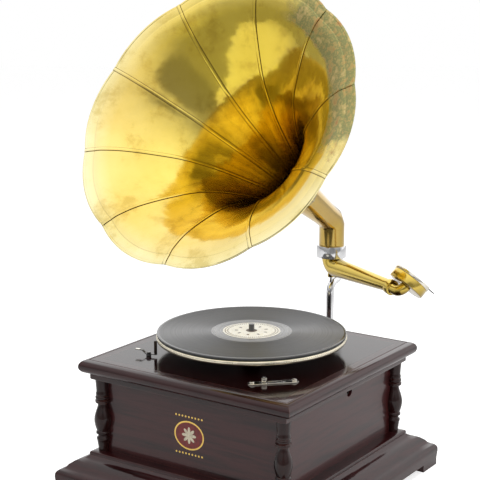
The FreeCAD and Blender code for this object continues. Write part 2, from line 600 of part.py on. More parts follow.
def motor():
    module = size("gear_module")
    barrel, intermediate, governor = train_axes()
    floor, ceiling = size(MOTOR_FLOOR), size(UPPER_PLATE)
    foot, head = size(f"{LOWER_PLATE} + arbor_end"), size(f"{UPPER_PLATE} + motor_plate_thick")
    gap = size("running_gap")
    arbors = [(size("spindle_radius"), 0, 0), (size("barrel_arbor_radius"), *barrel),
              (size("intermediate_radius"), *intermediate), (size("governor_radius"), *governor)]

    wide, deep = "motor_plate_left + motor_plate_right", "motor_plate_front + motor_plate_back"
    for name, low in (("motor_bottom_plate", LOWER_PLATE), ("motor_top_plate", UPPER_PLATE)):
        plate = block(wide, deep, "motor_plate_thick", "-motor_plate_left", "-motor_plate_front", low)
        doc.recompute()
        shape = plate.Shape
        doc.removeObject(plate.Name)
        for radius, x, y in arbors:
            top = size(f"{low} + motor_plate_thick")
            shape = shape.cut(bar(radius + gap, size(low) - gap, top + gap, x, y))
        solid(name, shape)
    posts = []
    for x in ("-(motor_plate_left - motor_post_inset)", "motor_plate_right - motor_post_inset"):
        for y in ("-(motor_plate_front - motor_post_inset)", "motor_plate_back - motor_post_inset"):
            posts.append(rod("motor_post_radius", "motor_room", x, y, MOTOR_FLOOR))
            posts.append(rod("motor_post_radius", "motor_drop", x, y, f"{UPPER_PLATE} + motor_plate_thick"))
    group(posts, "motor_posts")

    # Spindle and its wheel.
    low = floor + size("intermediate_lift")
    leaf_low, leaf_high = low - size("seat_gap"), low + size("wheel_thick + seat_gap")
    toward = between((0, 0), intermediate)
    hub_low = size(f"{PLATTER_TOP} - platter_hub_height")
    spindle = bar(size("spindle_radius"), foot, size(RECORD_LOW))
    spindle = spindle.fuse([
        bar(size("record_hole_radius"), size(RECORD_LOW), size(f"{RECORD_TOP} + label_thick")),
        bar(size("spindle_pin_radius"), size(RECORD_LOW), size(f"{RECORD_TOP} + spindle_pin_height")),
        bar(size("spindle_collar_radius"), size(f"{BOARD_TOP} + bush_flange_thick + seat_gap"), hub_low),
        gear(SPINDLE_LEAVES, LEAF_ADDENDUM_SHARE, toward, leaf_low, leaf_high)])
    solid("spindle", spindle.removeSplitter())
    wheel_low = floor + size("governor_wheel_lift")
    pitch = module * GOVERNOR_TEETH / 2
    holes = crossing_holes(size("spindle_radius + 2 * wheel_thick"), pitch - size("wheel_thick"), 5)
    away = between((0, 0), governor)
    solid("spindle_wheel", gear(GOVERNOR_TEETH, WHEEL_ADDENDUM_SHARE, away, wheel_low,
                                wheel_low + size("wheel_thick"), holes + [(size("spindle_radius"), 0, 0)]))

    # Intermediate arbor, its leaves and its wheel.
    great_low = floor + size("barrel_lift")
    great_high = great_low + size("gear_thick")
    spread = size("seat_gap")
    onward = between(intermediate, barrel)
    arbor = bar(size("intermediate_radius"), foot, head)
    arbor = arbor.fuse(gear(INTERMEDIATE_LEAVES, LEAF_ADDENDUM_SHARE, onward, great_low - spread,
                            great_high + spread))
    spot = Placement(Vector(*intermediate, 0), Rotation())
    solid("intermediate_arbor", arbor.removeSplitter(), spot)
    pitch = module * INTERMEDIATE_TEETH / 2
    holes = crossing_holes(size("intermediate_radius + 2 * wheel_thick"), pitch - size("wheel_thick"), 5)
    first = toward + math.pi + math.pi / INTERMEDIATE_TEETH
    solid("intermediate_wheel", gear(INTERMEDIATE_TEETH, WHEEL_ADDENDUM_SHARE, first, low,
                                     low + size("wheel_thick"),
                                     holes + [(size("intermediate_radius"), 0, 0)]), spot)

    # Spring barrel, lid, spring and arbor.
    spot = Placement(Vector(*barrel, 0), Rotation())
    first = onward + math.pi + math.pi / GREAT_TEETH
    drum_high = great_high + size("barrel_height - barrel_wall")
    bore = size("barrel_arbor_radius + running_gap")
    drum = gear(GREAT_TEETH, WHEEL_ADDENDUM_SHARE, first, great_low, great_high)
    drum = drum.fuse(bar(size("barrel_radius"), great_high, drum_high))
    drum = drum.cut(bar(size("barrel_radius - barrel_wall"), great_high, drum_high))
    drum = drum.cut(bar(bore, great_low, great_high))
    solid("spring_barrel", drum.removeSplitter(), spot)
    lid_high = drum_high + size("barrel_wall")
    lid = bar(size("barrel_radius"), drum_high, lid_high)
    solid("barrel_lid", lid.cut(bar(bore, drum_high, lid_high)), spot)
    solid("mainspring", spiral_strip(great_high + spread, drum_high - spread), spot)
    crown_low = size(f"winding_height - {CROWN_RADIUS} - {CROWN_LEAF_OVER} - seat_gap - crown_thick")
    shaft = bar(size("barrel_arbor_radius"), foot, head)
    shaft = shaft.fuse(bar(size("2 * barrel_arbor_radius"), lid_high + spread, crown_low))
    solid("barrel_arbor", shaft.removeSplitter(), spot)
    solid("crown_wheel", crown_wheel(crown_low), spot)

    # Governor shaft with its leaves, leaf springs, weights and disc.
    spot = Placement(Vector(*governor, 0), Rotation())
    first = away + math.pi + math.pi / GOVERNOR_LEAVES
    collar = size("governor_collar_radius")
    spring_low = floor + size("governor_foot")
    spring_high = wheel_low - size("governor_collar_high + governor_disc_thick")
    shaft = bar(size("governor_radius"), foot, head)
    shaft = shaft.fuse([
        bar(collar, spring_low, spring_low + size("governor_collar_high")),
        gear(GOVERNOR_LEAVES, LEAF_ADDENDUM_SHARE, first, wheel_low - spread,
             wheel_low + size("wheel_thick") + spread)])
    solid("governor_shaft", shaft.removeSplitter(), spot)
    disc_low = size(GOVERNOR_DISC_LOW)
    disc = bar(size("governor_disc_radius"), disc_low, disc_low + size("governor_disc_thick"))
    disc = disc.fuse(bar(collar, disc_low - size("governor_collar_high"), disc_low))
    disc = disc.cut(bar(size("governor_radius"), disc_low - size("governor_collar_high"),
                        disc_low + size("governor_disc_thick")))
    solid("governor_disc", disc.removeSplitter(), spot)
    springs, weights = governor_fliers(spring_low, disc_low)
    solid("governor_springs", springs, spot)
    solid("governor_weights", weights, spot)


def spiral_strip(low, high):
    """The coiled mainspring: half-turns about two centres, so that each turn lies outside the last."""
    pitch, thick = size("spring_pitch"), size("spring_thick")
    inner = size("2 * barrel_arbor_radius")
    room = size("barrel_radius - barrel_wall - spring_thick - seat_gap") - inner
    halves = int(room / pitch) * 2
    walls = []
    for offset in (0, thick):
        edges = []
        for half in range(halves):
            side = 1 if half % 2 == 0 else -1
            radius = inner + pitch * half / 2 + offset
            centre = Vector(0 if side > 0 else pitch / 2, 0, low)
            middle = centre + Vector(0, radius * side, 0)
            start, end = centre + Vector(radius * side, 0, 0), centre - Vector(radius * side, 0, 0)
            edges.append(Part.Arc(start, middle, end).toShape())
        walls.append(edges)
    first, last = [[wall[end].valueAt(wall[end].FirstParameter if end == 0 else wall[end].LastParameter)
                    for wall in walls] for end in (0, -1)]
    caps = [Part.makeLine(*first), Part.makeLine(*last)]
    loop = Part.Wire(Part.__sortEdges__(walls[0] + walls[1] + caps))
    return Part.Face(loop).extrude(Vector(0, 0, high - low))


def governor_fliers(low, high):
    """Three leaf springs from the collar to the disc's boss, each with a weight on its bow."""
    collar, out = size("governor_collar_radius"), size("governor_spring_out")
    wide, thick = size("governor_spring_wide"), size("governor_spring_thick")
    grip = size("governor_collar_high")
    middle, flat = (low + high) / 2, size("governor_weight_radius")
    inner = [(collar, low), (collar, low + grip), (out, middle - flat), (out, middle + flat),
             (collar, high - grip), (collar, high)]
    outer = [(across + thick, up) for across, up in inner]
    points = [Vector(across, -wide / 2, up) for across, up in inner + outer[::-1]]
    strip = Part.Face(Part.makePolygon(points + points[:1])).extrude(Vector(0, wide, 0))
    weight = Part.makeCylinder(flat, size("governor_weight_long"), Vector(out + thick, 0, middle),
                               Vector(1, 0, 0))
    sets = []
    for shape in (strip, weight):
        copies = []
        for count in range(GOVERNOR_WEIGHTS):
            copy = shape.copy()
            copy.rotate(Vector(), Vector(0, 0, 1), 360 * count / GOVERNOR_WEIGHTS)
            copies.append(copy)
        sets.append(Part.makeCompound(copies))
    return sets


def crown_wheel(low):
    """A face-toothed wheel whose upright teeth stand between the winding pinion's leaves."""
    high = low + size("crown_thick")
    top = size(f"winding_height - {CROWN_RADIUS} + {CROWN_LEAF_OVER}")
    ring, long = size("crown_ring_radius"), size("crown_tooth_long")
    wide = 2 * math.pi * ring / CROWN_TEETH * CROWN_TOOTH_SHARE
    wheel = bar(ring + long / 2, low, high).cut(bar(size("barrel_arbor_radius"), low, high))
    teeth = []
    for count in range(CROWN_TEETH):
        tooth = Part.makeBox(long, wide, top - low, Vector(ring - long / 2, -wide / 2, low))
        tooth.rotate(Vector(), Vector(0, 0, 1), 360 * (count + 0.5) / CROWN_TEETH)
        teeth.append(tooth)
    rim = bar(ring + long / 2, low, top)
    teeth = [tooth.common(rim) for tooth in teeth]
    return wheel.fuse(teeth).removeSplitter()


def winding():
    """The winding shaft: a bored outer end for the crank and leaves at the inner end."""
    inner = size("barrel_along + crown_ring_radius - crown_pinion_wide / 2")
    outer = size("case_width / 2 - winding_recess")
    root = size("winding_core_radius")
    tip = size(f"{CROWN_RADIUS} + {CROWN_LEAF_OVER}")
    wide = 2 * math.pi * size(CROWN_RADIUS) / CROWN_LEAVES * LEAF_WIDTH_SHARE
    long = size("crown_pinion_wide")
    axis = Vector(1, 0, 0)
    shaft = Part.makeCylinder(root, outer - inner, Vector(inner, 0, 0), axis)
    step = inner + long + size("crown_tooth_long")
    shaft = shaft.fuse(Part.makeCylinder(size("winding_radius"), outer - step, Vector(step, 0, 0), axis))
    leaves = []
    for count in range(CROWN_LEAVES):
        leaf = Part.makeBox(long, wide, tip, Vector(inner, -wide / 2, -tip))
        leaf.rotate(Vector(), axis, 360 * count / CROWN_LEAVES)
        leaves.append(leaf)
    shaft = shaft.fuse(leaves)
    deep = size("winding_bore_deep")
    shaft = shaft.cut(Part.makeCylinder(size("winding_bore_radius"), deep, Vector(outer - deep, 0, 0), axis))
    spot = Placement(Vector(0, size("winding_back"), size("winding_height")), Rotation())
    solid("winding_shaft", shaft.removeSplitter(), spot)
    half = "(winding_radius + bearing_wall)"
    hanger = block("bearing_long", f"2 * {half}", f"{UPPER_PLATE} - winding_height + {half}",
                   "motor_plate_right - bearing_long", f"winding_back - {half}", f"winding_height - {half}")
    bore = rod("winding_radius + running_gap", "bearing_long + 2 * cut_overrun",
               "motor_plate_right - bearing_long - cut_overrun", "winding_back", "winding_height",
               Rotation(Vector(0, 1, 0), 90))
    keep(cut(hanger, bore), "winding_bearing")


# Bracket, tone arm and soundbox

def bracket():
    body = new_body("horn_bracket")
    step = "collar_low + collar_step"
    top = "collar_low + collar_high"
    ring = add_loop(new_sketch(body, "XZ_Plane"), [
        ("arm_radius + running_gap", "collar_low"), ("collar_radius", "collar_low"), ("collar_radius", top),
        ("horn_tube_radius + running_gap", top), ("horn_tube_radius + running_gap", step),
        ("arm_radius + running_gap", step)])
    add_feature(body, "Revolution", ring, ReferenceAxis=(ring, ["V_Axis"]), Angle=360)
    setback = "(pivot_back - case_width / 2)"
    back = "(collar_radius + bracket_tuck)"
    crank = "(arm_boss_low - bracket_arm_radius - bracket_clear)"
    spine = add_loop(new_sketch(body, "YZ_Plane"), [
        (f"-{setback}", "bracket_arm_height"), ("-bracket_post_back - bracket_bend", "bracket_arm_height"),
        ("-bracket_post_back", "bracket_arm_height + bracket_bend", "bracket_bend", 1),
        ("-bracket_post_back", f"{crank} - bracket_crank_low"),
        ("-bracket_post_back + bracket_crank_low", crank, "bracket_crank_low", -1),
        (f"{back} - bracket_crank_high", crank),
        (back, f"{crank} + bracket_crank_high", "bracket_crank_high", 1),
        (back, f"{top} - bracket_arm_radius")], closed=False)
    section = add_circle(new_sketch(body, "XZ_Plane", setback), "bracket_arm_radius", "0",
                         "bracket_arm_height")
    pipe = add_feature(body, "AdditivePipe", section)
    pipe.Spine = spine
    seat = add_loop(new_sketch(body, "XZ_Plane"), [
        ("0", step), ("horn_tube_radius + running_gap", step),
        ("horn_tube_radius + running_gap", f"{top} + cut_overrun"), ("0", f"{top} + cut_overrun")])
    add_feature(body, "Groove", seat, ReferenceAxis=(seat, ["V_Axis"]), Angle=360)
    plate = new_sketch(body, "XZ_Plane", setback)
    x, round_off = "bracket_plate_wide / 2", "bracket_plate_round"
    low, high = [f"(bracket_arm_height {side} bracket_plate_high / 2)" for side in "-+"]
    add_loop(plate, [
        (f"-{x}", f"{low} + {round_off}"), (f"-{x} + {round_off}", low, round_off, 1),
        (f"{x} - {round_off}", low), (x, f"{low} + {round_off}", round_off, 1),
        (x, f"{high} - {round_off}"), (f"{x} - {round_off}", high, round_off, 1),
        (f"-{x} + {round_off}", high), (f"-{x}", f"{high} - {round_off}", round_off, 1)])
    add_feature(body, "Pad", plate, Length="bracket_plate_thick", Reversed=True)
    pin = add_circle(new_sketch(body, "XY_Plane", crank), "pin_radius")
    add_feature(body, "Pad", pin, Length=f"arm_boss_low - {crank} + pin_deep")
    place(body, y="pivot_back")
    screws = []
    backward = Rotation(Vector(1, 0, 0), -90)
    for x in ("-bracket_screw_out", "bracket_screw_out"):
        for side in ("-", "+"):
            screws.append(rod("bracket_screw_radius", "bracket_screw_high", x,
                              "case_width / 2 + bracket_plate_thick",
                              f"bracket_arm_height {side} bracket_screw_rise", backward))
    group(screws, "bracket_screws")


def arm_tube(radius, end_radius, top, spigot):
    """The arm's form at one radius: spigot, tight elbow, long taper and drooping end."""
    bend = size("collar_low - arm_height")
    start = Vector(0, 0, size("collar_low"))
    tube = Part.makeCylinder(radius, top - start.z, start)
    disc = Part.Face(Part.Wire(Part.makeCircle(radius, start)))
    elbow = disc.revolve(Vector(bend, 0, start.z), Vector(0, 1, 0), -90)
    height, long = size("arm_height"), size("arm_long")
    taper = Part.makeCone(radius, end_radius, long - bend, Vector(bend, 0, height), Vector(1, 0, 0))
    knee = Part.makeSphere(end_radius, Vector(long, 0, height))
    droop = math.radians(size("arm_droop_angle"))
    along = Vector(math.cos(droop), 0, -math.sin(droop))
    end = Part.makeCylinder(end_radius, spigot, Vector(long, 0, height), along)
    return tube.fuse([elbow, taper, knee, end])


def tone_arm():
    wall, overrun = size("arm_wall"), size("cut_overrun")
    top = size("collar_low + collar_step - seat_gap")
    outer = arm_tube(size("arm_radius"), size("arm_end_radius"), top, size("arm_spigot"))
    low = size("arm_boss_low")
    boss = bar(size("arm_boss_radius"), low, size("arm_height - arm_radius / 2"))
    hollow = arm_tube(size("arm_radius - arm_wall"), size("arm_end_radius - arm_wall"), top + overrun,
                      size("arm_spigot") + overrun)
    socket = bar(size("pin_radius + running_gap"), low - overrun, low + size("pin_deep + seat_gap"))
    arm = outer.fuse(boss).cut(hollow).cut(socket)
    spot = Placement(Vector(0, size("pivot_back"), 0), Rotation(Vector(0, 0, 1), -size("arm_turn")))
    solid("tonearm", arm.removeSplitter(), spot)

    droop = Rotation(Vector(0, 1, 0), size("arm_droop_angle"))
    knee = Placement(Vector(size("arm_long"), 0, size("arm_height")), droop)
    tilt = Placement(Vector(), Rotation(Vector(1, 0, 0), size("crook_turn")))
    soundbox(spot.multiply(knee).multiply(tilt))


def soundbox(spot):
    """The crook, cup, ring, diaphragm, stylus bar and needle, drawn with the arm's end along X and
    the soundbox facing Y, the needle towards -Z."""
    gap = size("running_gap")
    ahead, sideways = Vector(1, 0, 0), Vector(0, 1, 0)
    sleeve_end = size("crook_sleeve_long")
    wall_end = sleeve_end + size("crook_end_thick")
    reach, bend = size("crook_reach"), size("crook_bend")
    radius, bore = size("crook_radius"), size("crook_radius - crook_wall")
    droop = math.radians(size("arm_droop_angle"))
    start = size("seat_gap") + size("arm_end_radius") * math.sin(droop)
    sleeve = Part.makeCylinder(size("crook_sleeve_radius"), wall_end - start, Vector(start, 0, 0), ahead)
    turn = Vector(reach - bend, 0, 0)
    pivot = turn + sideways * bend
    def crook_tube(inside):
        length = turn.x - sleeve_end
        straight = Part.makeCylinder(inside, length, Vector(sleeve_end, 0, 0), ahead)
        ring = Part.Face(Part.Wire(Part.makeCircle(inside, turn, ahead)))
        return straight.fuse(ring.revolve(pivot, Vector(0, 0, 1), 90))
    crook = sleeve.fuse(crook_tube(radius)).cut(crook_tube(bore))
    crook = crook.cut(Part.makeCylinder(size("arm_end_radius") + gap, sleeve_end, Vector(), ahead))
    solid("soundbox_crook", crook.removeSplitter(), spot)

    centre = Vector(reach, bend, 0)
    def disc(outside, near, far):
        return Part.makeCylinder(outside, far - near, centre + sideways * near, sideways)
    back, deep = size("box_back"), size("box_deep")
    cup = disc(size("box_radius"), 0, deep).cut(disc(size("box_bore"), back, deep)).cut(disc(bore, 0, back))
    solid("soundbox_cup", cup, spot)
    front = deep + size("box_ring_deep")
    face = disc(size("box_ring_radius"), deep, front).cut(disc(size("box_ring_bore"), deep, front))
    solid("soundbox_ring", face, spot)
    plate = deep - size("diaphragm_thick")
    solid("diaphragm", disc(size("box_bore"), plate, deep), spot)

    wide, thick = size("stylus_wide"), size("stylus_thick")
    bar_near = front + size("seat_gap")
    chuck = size("chuck_radius")
    from_centre = size("chuck_start")
    finger = Part.makeBox(wide, thick, from_centre, centre + Vector(-wide / 2, bar_near, -from_centre))
    stub = disc(size("stylus_foot_radius"), deep, bar_near + thick)
    lean = math.radians(size("needle_lean_angle"))
    down = Vector(math.sin(lean), 0, -math.cos(lean))
    hold_point = centre + Vector(0, bar_near + chuck, -from_centre)
    grip = Part.makeCylinder(chuck, size("chuck_long"), hold_point, down)
    solid("stylus_bar", finger.fuse([stub, grip]).removeSplitter(), spot)

    height = size("arm_height") - reach * math.sin(droop) - from_centre * math.cos(droop)
    drop = height - size(RECORD_TOP) - size("needle_gap")
    point = size("needle_point")
    shank = drop / math.cos(lean - droop) - size("chuck_long") - point
    needle = Part.makeCylinder(size("needle_radius"), shank, hold_point + down * size("chuck_long"), down)
    shank_end = hold_point + down * (size("chuck_long") + shank)
    tip = Part.makeCone(size("needle_radius"), 0, point, shank_end, down)
    solid("needle", needle.fuse(tip), spot)


# Horn

def horn_frame():
    """The horn's axis start, its direction and the two directions across it."""
    lift = math.radians(size("horn_lift_angle"))
    start = Vector(0, size("pivot_back"), size("horn_axis_height"))
    aside = Rotation(Vector(0, 0, 1), -size("horn_yaw_angle"))
    ahead = aside.multVec(Vector(0, -math.cos(lift), math.sin(lift)))
    up = aside.multVec(Vector(0, math.sin(lift), math.cos(lift)))
    return start, ahead, aside.multVec(Vector(1, 0, 0)), up


def horn_elbow():
    start, ahead, _, _ = horn_frame()
    foot = Vector(0, start.y, size("collar_low + collar_step"))
    set_back = size("elbow_set_back")
    stops = [foot, start - Vector(0, 0, set_back), start + ahead * set_back]
    stops.append(start + ahead * size("elbow_end"))
    def tube(radius, end_radius):
        pipe = Part.BRepOffsetAPI.MakePipeShell(Part.makePolygon(stops))
        pipe.setTransitionMode(1)
        pipe.add(Part.Wire(Part.makeCircle(radius, foot)))
        pipe.build()
        pipe.makeSolid()
        neck = Part.makeCone(radius, end_radius, size("neck_end - elbow_end"), stops[-1], ahead)
        return pipe.shape().fuse(neck)
    wall = size("horn_wall")
    radius, end_radius = size("horn_tube_radius"), size("neck_end_radius")
    elbow = tube(radius, end_radius).cut(tube(radius - wall, end_radius - wall))
    solid("horn_elbow", elbow.removeSplitter())


def horn_profile():
    """Places along the axis and radii of the bell, with the outward normal at each."""
    reach, rim = size("horn_reach"), size("rim_radius")
    points = [Vector(along * reach, out * rim, 0) for along, out in HORN_SHARES]
    points[0] = Vector(size("neck_end"), size("neck_end_radius + running_gap"), 0)
    curve = Part.BSplineCurve()
    curve.interpolate(points)
    stations = []
    first, last = curve.FirstParameter, curve.LastParameter
    for count in range(STATIONS):
        parameter = first + (last - first) * count / (STATIONS - 1)
        spot, along = curve.value(parameter), curve.tangent(parameter)[0]
        stations.append((spot.x, spot.y, Vector(-along.y, along.x, 0)))
    return stations


def horn_point(along, out, angle):
    start, ahead, right, up = horn_frame()
    return start + ahead * along + (right * math.cos(angle) + up * math.sin(angle)) * out


def petal_surface(stations, seam, offset):
    """One face of a petal: a grid over the profile and across the petal, swelling in the middle."""
    rim = size("rim_radius")
    side = size("seam_wide") / 2 + size("running_gap")
    step = 2 * math.pi / PETALS
    grid = []
    for along, out, normal in stations:
        across = []
        radius = out + normal.y * offset
        margin = math.asin(side / radius)
        for count in range(PETAL_STEPS + 1):
            share = count / PETAL_STEPS
            swell = size("petal_swell") * (out / rim) ** 2 * 4 * share * (1 - share)
            angle = seam + margin + (step - 2 * margin) * share
            across.append(horn_point(along + normal.x * offset, radius + swell, angle))
        grid.append(across)
    surface = Part.BSplineSurface()
    surface.interpolate(grid)
    return surface.toShape()


def petal(stations, seam):
    inner = petal_surface(stations, seam, 0)
    outer = petal_surface(stations, seam, size("petal_thick"))
    faces = [inner, outer]

    def middle(edge):
        return edge.valueAt((edge.FirstParameter + edge.LastParameter) / 2)
    for edge in inner.Edges:
        other = min(outer.Edges, key=lambda far: middle(far).distanceToPoint(middle(edge)))
        faces.append(Part.makeRuledSurface(edge, other))
    shell = Part.makeShell(faces)
    shell.sewShape()
    body = Part.Solid(Part.Shell(shell.Faces))
    if body.Volume < 0:
        body.reverse()
    return body


def seam_rib(stations, angle):
    """The raised seam between two petals: a strip that follows the profile, standing proud."""
    right, up = horn_frame()[2:]
    across = (right * -math.sin(angle) + up * math.cos(angle)) * size("seam_wide")
    rise = size("seam_high")
    proud = (rise - size("petal_thick")) / 2
    lines = []
    for offset in (-proud, rise - proud):
        curve = Part.BSplineCurve()
        curve.interpolate([horn_point(along + normal.x * offset, out + normal.y * offset, angle)
                           for along, out, normal in stations])
        lines.append(curve.toShape())
    caps = [Part.makeLine(*[line.valueAt(getattr(line, end)) for line in lines])
            for end in ("FirstParameter", "LastParameter")]
    strip = Part.Face(Part.Wire(Part.__sortEdges__(lines + caps)))
    strip.translate(across * -0.5)
    return strip.extrude(across)


def horn():
    horn_elbow()
    stations = horn_profile()
    step = 2 * math.pi / PETALS
    seams = [math.pi / 2 + step * count for count in range(PETALS)]
    solid("horn_petals", Part.makeCompound([petal(stations, seam) for seam in seams]))
    solid("horn_seams", Part.makeCompound([seam_rib(stations, seam) for seam in seams]))


GOVERNOR_DISC_LOW = f"({MOTOR_FLOOR} + governor_wheel_lift - governor_disc_drop - governor_disc_thick)"
SPEED_TUBE = f"({BOARD_LOW} - speed_arm_drop - speed_arm_thick - {GOVERNOR_DISC_LOW})"
GOVERNOR_GAP = f"(speed_reach - speed_arm_long - gear_module * {(GOVERNOR_TEETH + GOVERNOR_LEAVES) / 2})"
CROWN_RADIUS = f"(crown_ring_radius * {CROWN_LEAVES / CROWN_TEETH:.9f})"
CROWN_LEAF_OVER = "crown_leaf_over"

cabinet()
motor_board()
speed_regulator()
brake()
turntable()
motor()
winding()
bracket()
tone_arm()
horn()
doc.recompute()
for piece in doc.Objects:
    if "Invalid" in piece.State or "Error" in piece.State:
        raise RuntimeError(f"{piece.Name} did not build: {piece.State}")
for piece in PIECES:
    if piece.Shape.isNull() or not piece.Shape.isValid():
        raise RuntimeError(f"{piece.Label} is not a sound shape")
os.makedirs("parts", exist_ok=True)
back_reach = "(pivot_back + collar_radius + bracket_tuck + bracket_arm_radius)"
floor_middle = Vector(0, size(f"({back_reach} - plinth_width / 2) / 2"), 0)
for piece in PIECES:
    shape = piece.Shape.copy()
    shape.translate(floor_middle * -1)
    shape.exportStep(f"parts/{piece.Label}.step")
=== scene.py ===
import bmesh
import bpy
import math
from mathutils import Matrix, Vector


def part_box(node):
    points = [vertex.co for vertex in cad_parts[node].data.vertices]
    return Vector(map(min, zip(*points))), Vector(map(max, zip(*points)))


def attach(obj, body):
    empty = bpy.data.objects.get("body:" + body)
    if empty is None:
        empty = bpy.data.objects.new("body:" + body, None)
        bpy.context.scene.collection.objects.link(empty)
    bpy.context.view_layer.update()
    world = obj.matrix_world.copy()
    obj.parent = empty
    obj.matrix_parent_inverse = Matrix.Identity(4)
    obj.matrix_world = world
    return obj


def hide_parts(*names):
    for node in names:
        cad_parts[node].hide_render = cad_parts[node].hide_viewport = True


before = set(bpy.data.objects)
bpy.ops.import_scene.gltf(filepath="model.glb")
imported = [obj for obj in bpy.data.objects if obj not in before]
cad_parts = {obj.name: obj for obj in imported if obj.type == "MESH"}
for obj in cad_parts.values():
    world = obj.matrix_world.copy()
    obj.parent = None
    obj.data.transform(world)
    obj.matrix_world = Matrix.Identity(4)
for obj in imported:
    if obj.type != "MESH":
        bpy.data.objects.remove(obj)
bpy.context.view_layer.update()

# Studio: a white sweep under the gramophone, a broad soft light from the left, a smaller one from
# the right and one above. The room is white; in the metal it is brightest overhead, dimmer beyond the
# sweep's front edge, and has one dark doorway in front.
scene = bpy.context.scene
scene.view_settings.view_transform = "Standard"
mm = 0.001
middle_y = sum(corner.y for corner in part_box("spindle")) / 2
camera = bpy.data.objects.new("camera", bpy.data.cameras.new("camera"))
camera.data.lens = 97.8
camera.data.sensor_width = 36
camera.location = (0.9258, -1.3765 + middle_y, 0.6813)
looking = Vector((-0.5533, 0.8065, -0.2084))
camera.rotation_euler = looking.to_track_quat("-Z", "Y").to_euler()
scene.collection.objects.link(camera)
scene.camera = camera


def feed(tree, node, terms):
    """Gives a node its inputs in order, each a plain value or another node's output."""
    for place, term in zip(node.inputs, terms):
        if isinstance(term, bpy.types.NodeSocket):
            tree.links.new(term, place)
        else:
            place.default_value = term


def reckon(tree, operation, *terms):
    """One step of arithmetic."""
    node = tree.nodes.new("ShaderNodeMath")
    node.operation = operation
    feed(tree, node, terms)
    return node.outputs[0]


def measure(tree, operation, *terms):
    """One step on directions or places, which gives a length or another direction."""
    node = tree.nodes.new("ShaderNodeVectorMath")
    node.operation = operation
    feed(tree, node, terms)
    return node.outputs["Value" if operation in ("DOT_PRODUCT", "LENGTH") else "Vector"]


def laid_over(tree, kind, share, below, above):
    """One colour laid over another, by a share."""
    node = tree.nodes.new("ShaderNodeMixRGB")
    node.blend_type = kind
    feed(tree, node, (share, below, above))
    return node.outputs[0]


def spread(tree, source, low, high, source_low=0, source_high=1):
    """Maps one band of values onto another."""
    node = tree.nodes.new("ShaderNodeMapRange")
    feed(tree, node, (source, source_low, source_high, low, high))
    return node.outputs[0]


def ramp(tree, source, stops):
    """A colour ramp fed by an output, with stops as (position, colour)."""
    node = tree.nodes.new("ShaderNodeValToRGB")
    while len(node.color_ramp.elements) < len(stops):
        node.color_ramp.elements.new(0.5)
    for element, (position, colour) in zip(node.color_ramp.elements, stops):
        element.position = position
        element.color = (*colour, 1)
    tree.links.new(source, node.inputs[0])
    return node.outputs[0]


def parts_of(tree, place):
    """The X, Y and Z outputs of a place or direction."""
    node = tree.nodes.new("ShaderNodeSeparateXYZ")
    tree.links.new(place, node.inputs[0])
    return node.outputs


world = bpy.data.worlds.new("studio")
scene.world = world
world.use_nodes = True
room = world.node_tree
room.nodes.clear()
room_rays = room.nodes.new("ShaderNodeLightPath").outputs
heading = room.nodes.new("ShaderNodeTexCoord").outputs["Generated"]
heading_parts = parts_of(room, heading)
room_levels = ((0, 0.42), (0.10, 0.54), (0.22, 0.72), (0.34, 0.88), (0.58, 1.12), (1, 1.45))
overhead = ramp(room, heading_parts["Z"], [(height, (level, level, level)) for height, level in room_levels])
back_wall = laid_over(room, "MIX", spread(room, heading_parts["Y"], 0, 1, 0.15, 0.6), overhead, (1.4, 1.4, 1.4, 1))
doorway = spread(room, measure(room, "DOT_PRODUCT", heading, (0.587, -0.808, -0.052)), 0, 1, 0.915, 0.955)
reflected = laid_over(room, "MIX", doorway, back_wall, (0.30, 0.30, 0.30, 1))
shown = reckon(room, "ADD", room_rays["Is Camera Ray"], room_rays["Is Glossy Ray"])
shown = reckon(room, "ADD", shown, room_rays["Is Transmission Ray"])
sky = room.nodes.new("ShaderNodeBackground")
room.links.new(laid_over(room, "MIX", room_rays["Is Glossy Ray"], (1, 1, 1, 1), reflected), sky.inputs["Color"])
room.links.new(spread(room, shown, 0.5, 1), sky.inputs["Strength"])
room_out = room.nodes.new("ShaderNodeOutputWorld")
room.links.new(sky.outputs[0], room_out.inputs["Surface"])

for lamp_name, spot, power, wide in (
    ("soft_left", (-1.6, -1.5, 1.7), 20, 1.6),
    ("soft_right", (1.9, -0.7, 1.2), 26, 1.2),
    ("soft_top", (0.0, 0.4, 2.1), 24, 1.6),
):
    lamp = bpy.data.lights.new(lamp_name, "AREA")
    lamp.energy = power
    lamp.size = wide
    light = bpy.data.objects.new(lamp_name, lamp)
    light.location = spot
    light.visible_glossy = False
    light.rotation_euler = (Vector((0, 0, 0.3)) - light.location).to_track_quat("-Z", "Y").to_euler()
    scene.collection.objects.link(light)

sweep = bmesh.new()
sweep_half = 4
sweep_ahead = 0.95
bmesh.ops.create_grid(sweep, x_segments=1, y_segments=1, size=sweep_half)
bmesh.ops.translate(sweep, verts=sweep.verts, vec=(0, sweep_half - sweep_ahead, 0))
bmesh.ops.rotate(sweep, verts=sweep.verts, cent=(0, 0, 0), matrix=Matrix.Rotation(math.radians(34.5), 3, "Z"))
sweep_mesh = bpy.data.meshes.new("studio_floor")
sweep.to_mesh(sweep_mesh)
sweep.free()
floor = bpy.data.objects.new("studio_floor", sweep_mesh)
scene.collection.objects.link(floor)
paper = bpy.data.materials.new("white_sweep")
paper.use_nodes = True
paper_tree = paper.node_tree
paper_shader = paper_tree.nodes["Principled BSDF"]
paper_shader.inputs["Base Color"].default_value = (0.62, 0.62, 0.62, 1)
paper_shader.inputs["Roughness"].default_value = 0.9
paper_shader.inputs["Emission Color"].default_value = (1, 1, 1, 1)
paper_rays = paper_tree.nodes.new("ShaderNodeLightPath").outputs
paper_glow = reckon(paper_tree, "MULTIPLY", paper_rays["Is Camera Ray"], 0.62)
paper_glow = reckon(paper_tree, "MULTIPLY_ADD", paper_rays["Is Glossy Ray"], 0.26, paper_glow)
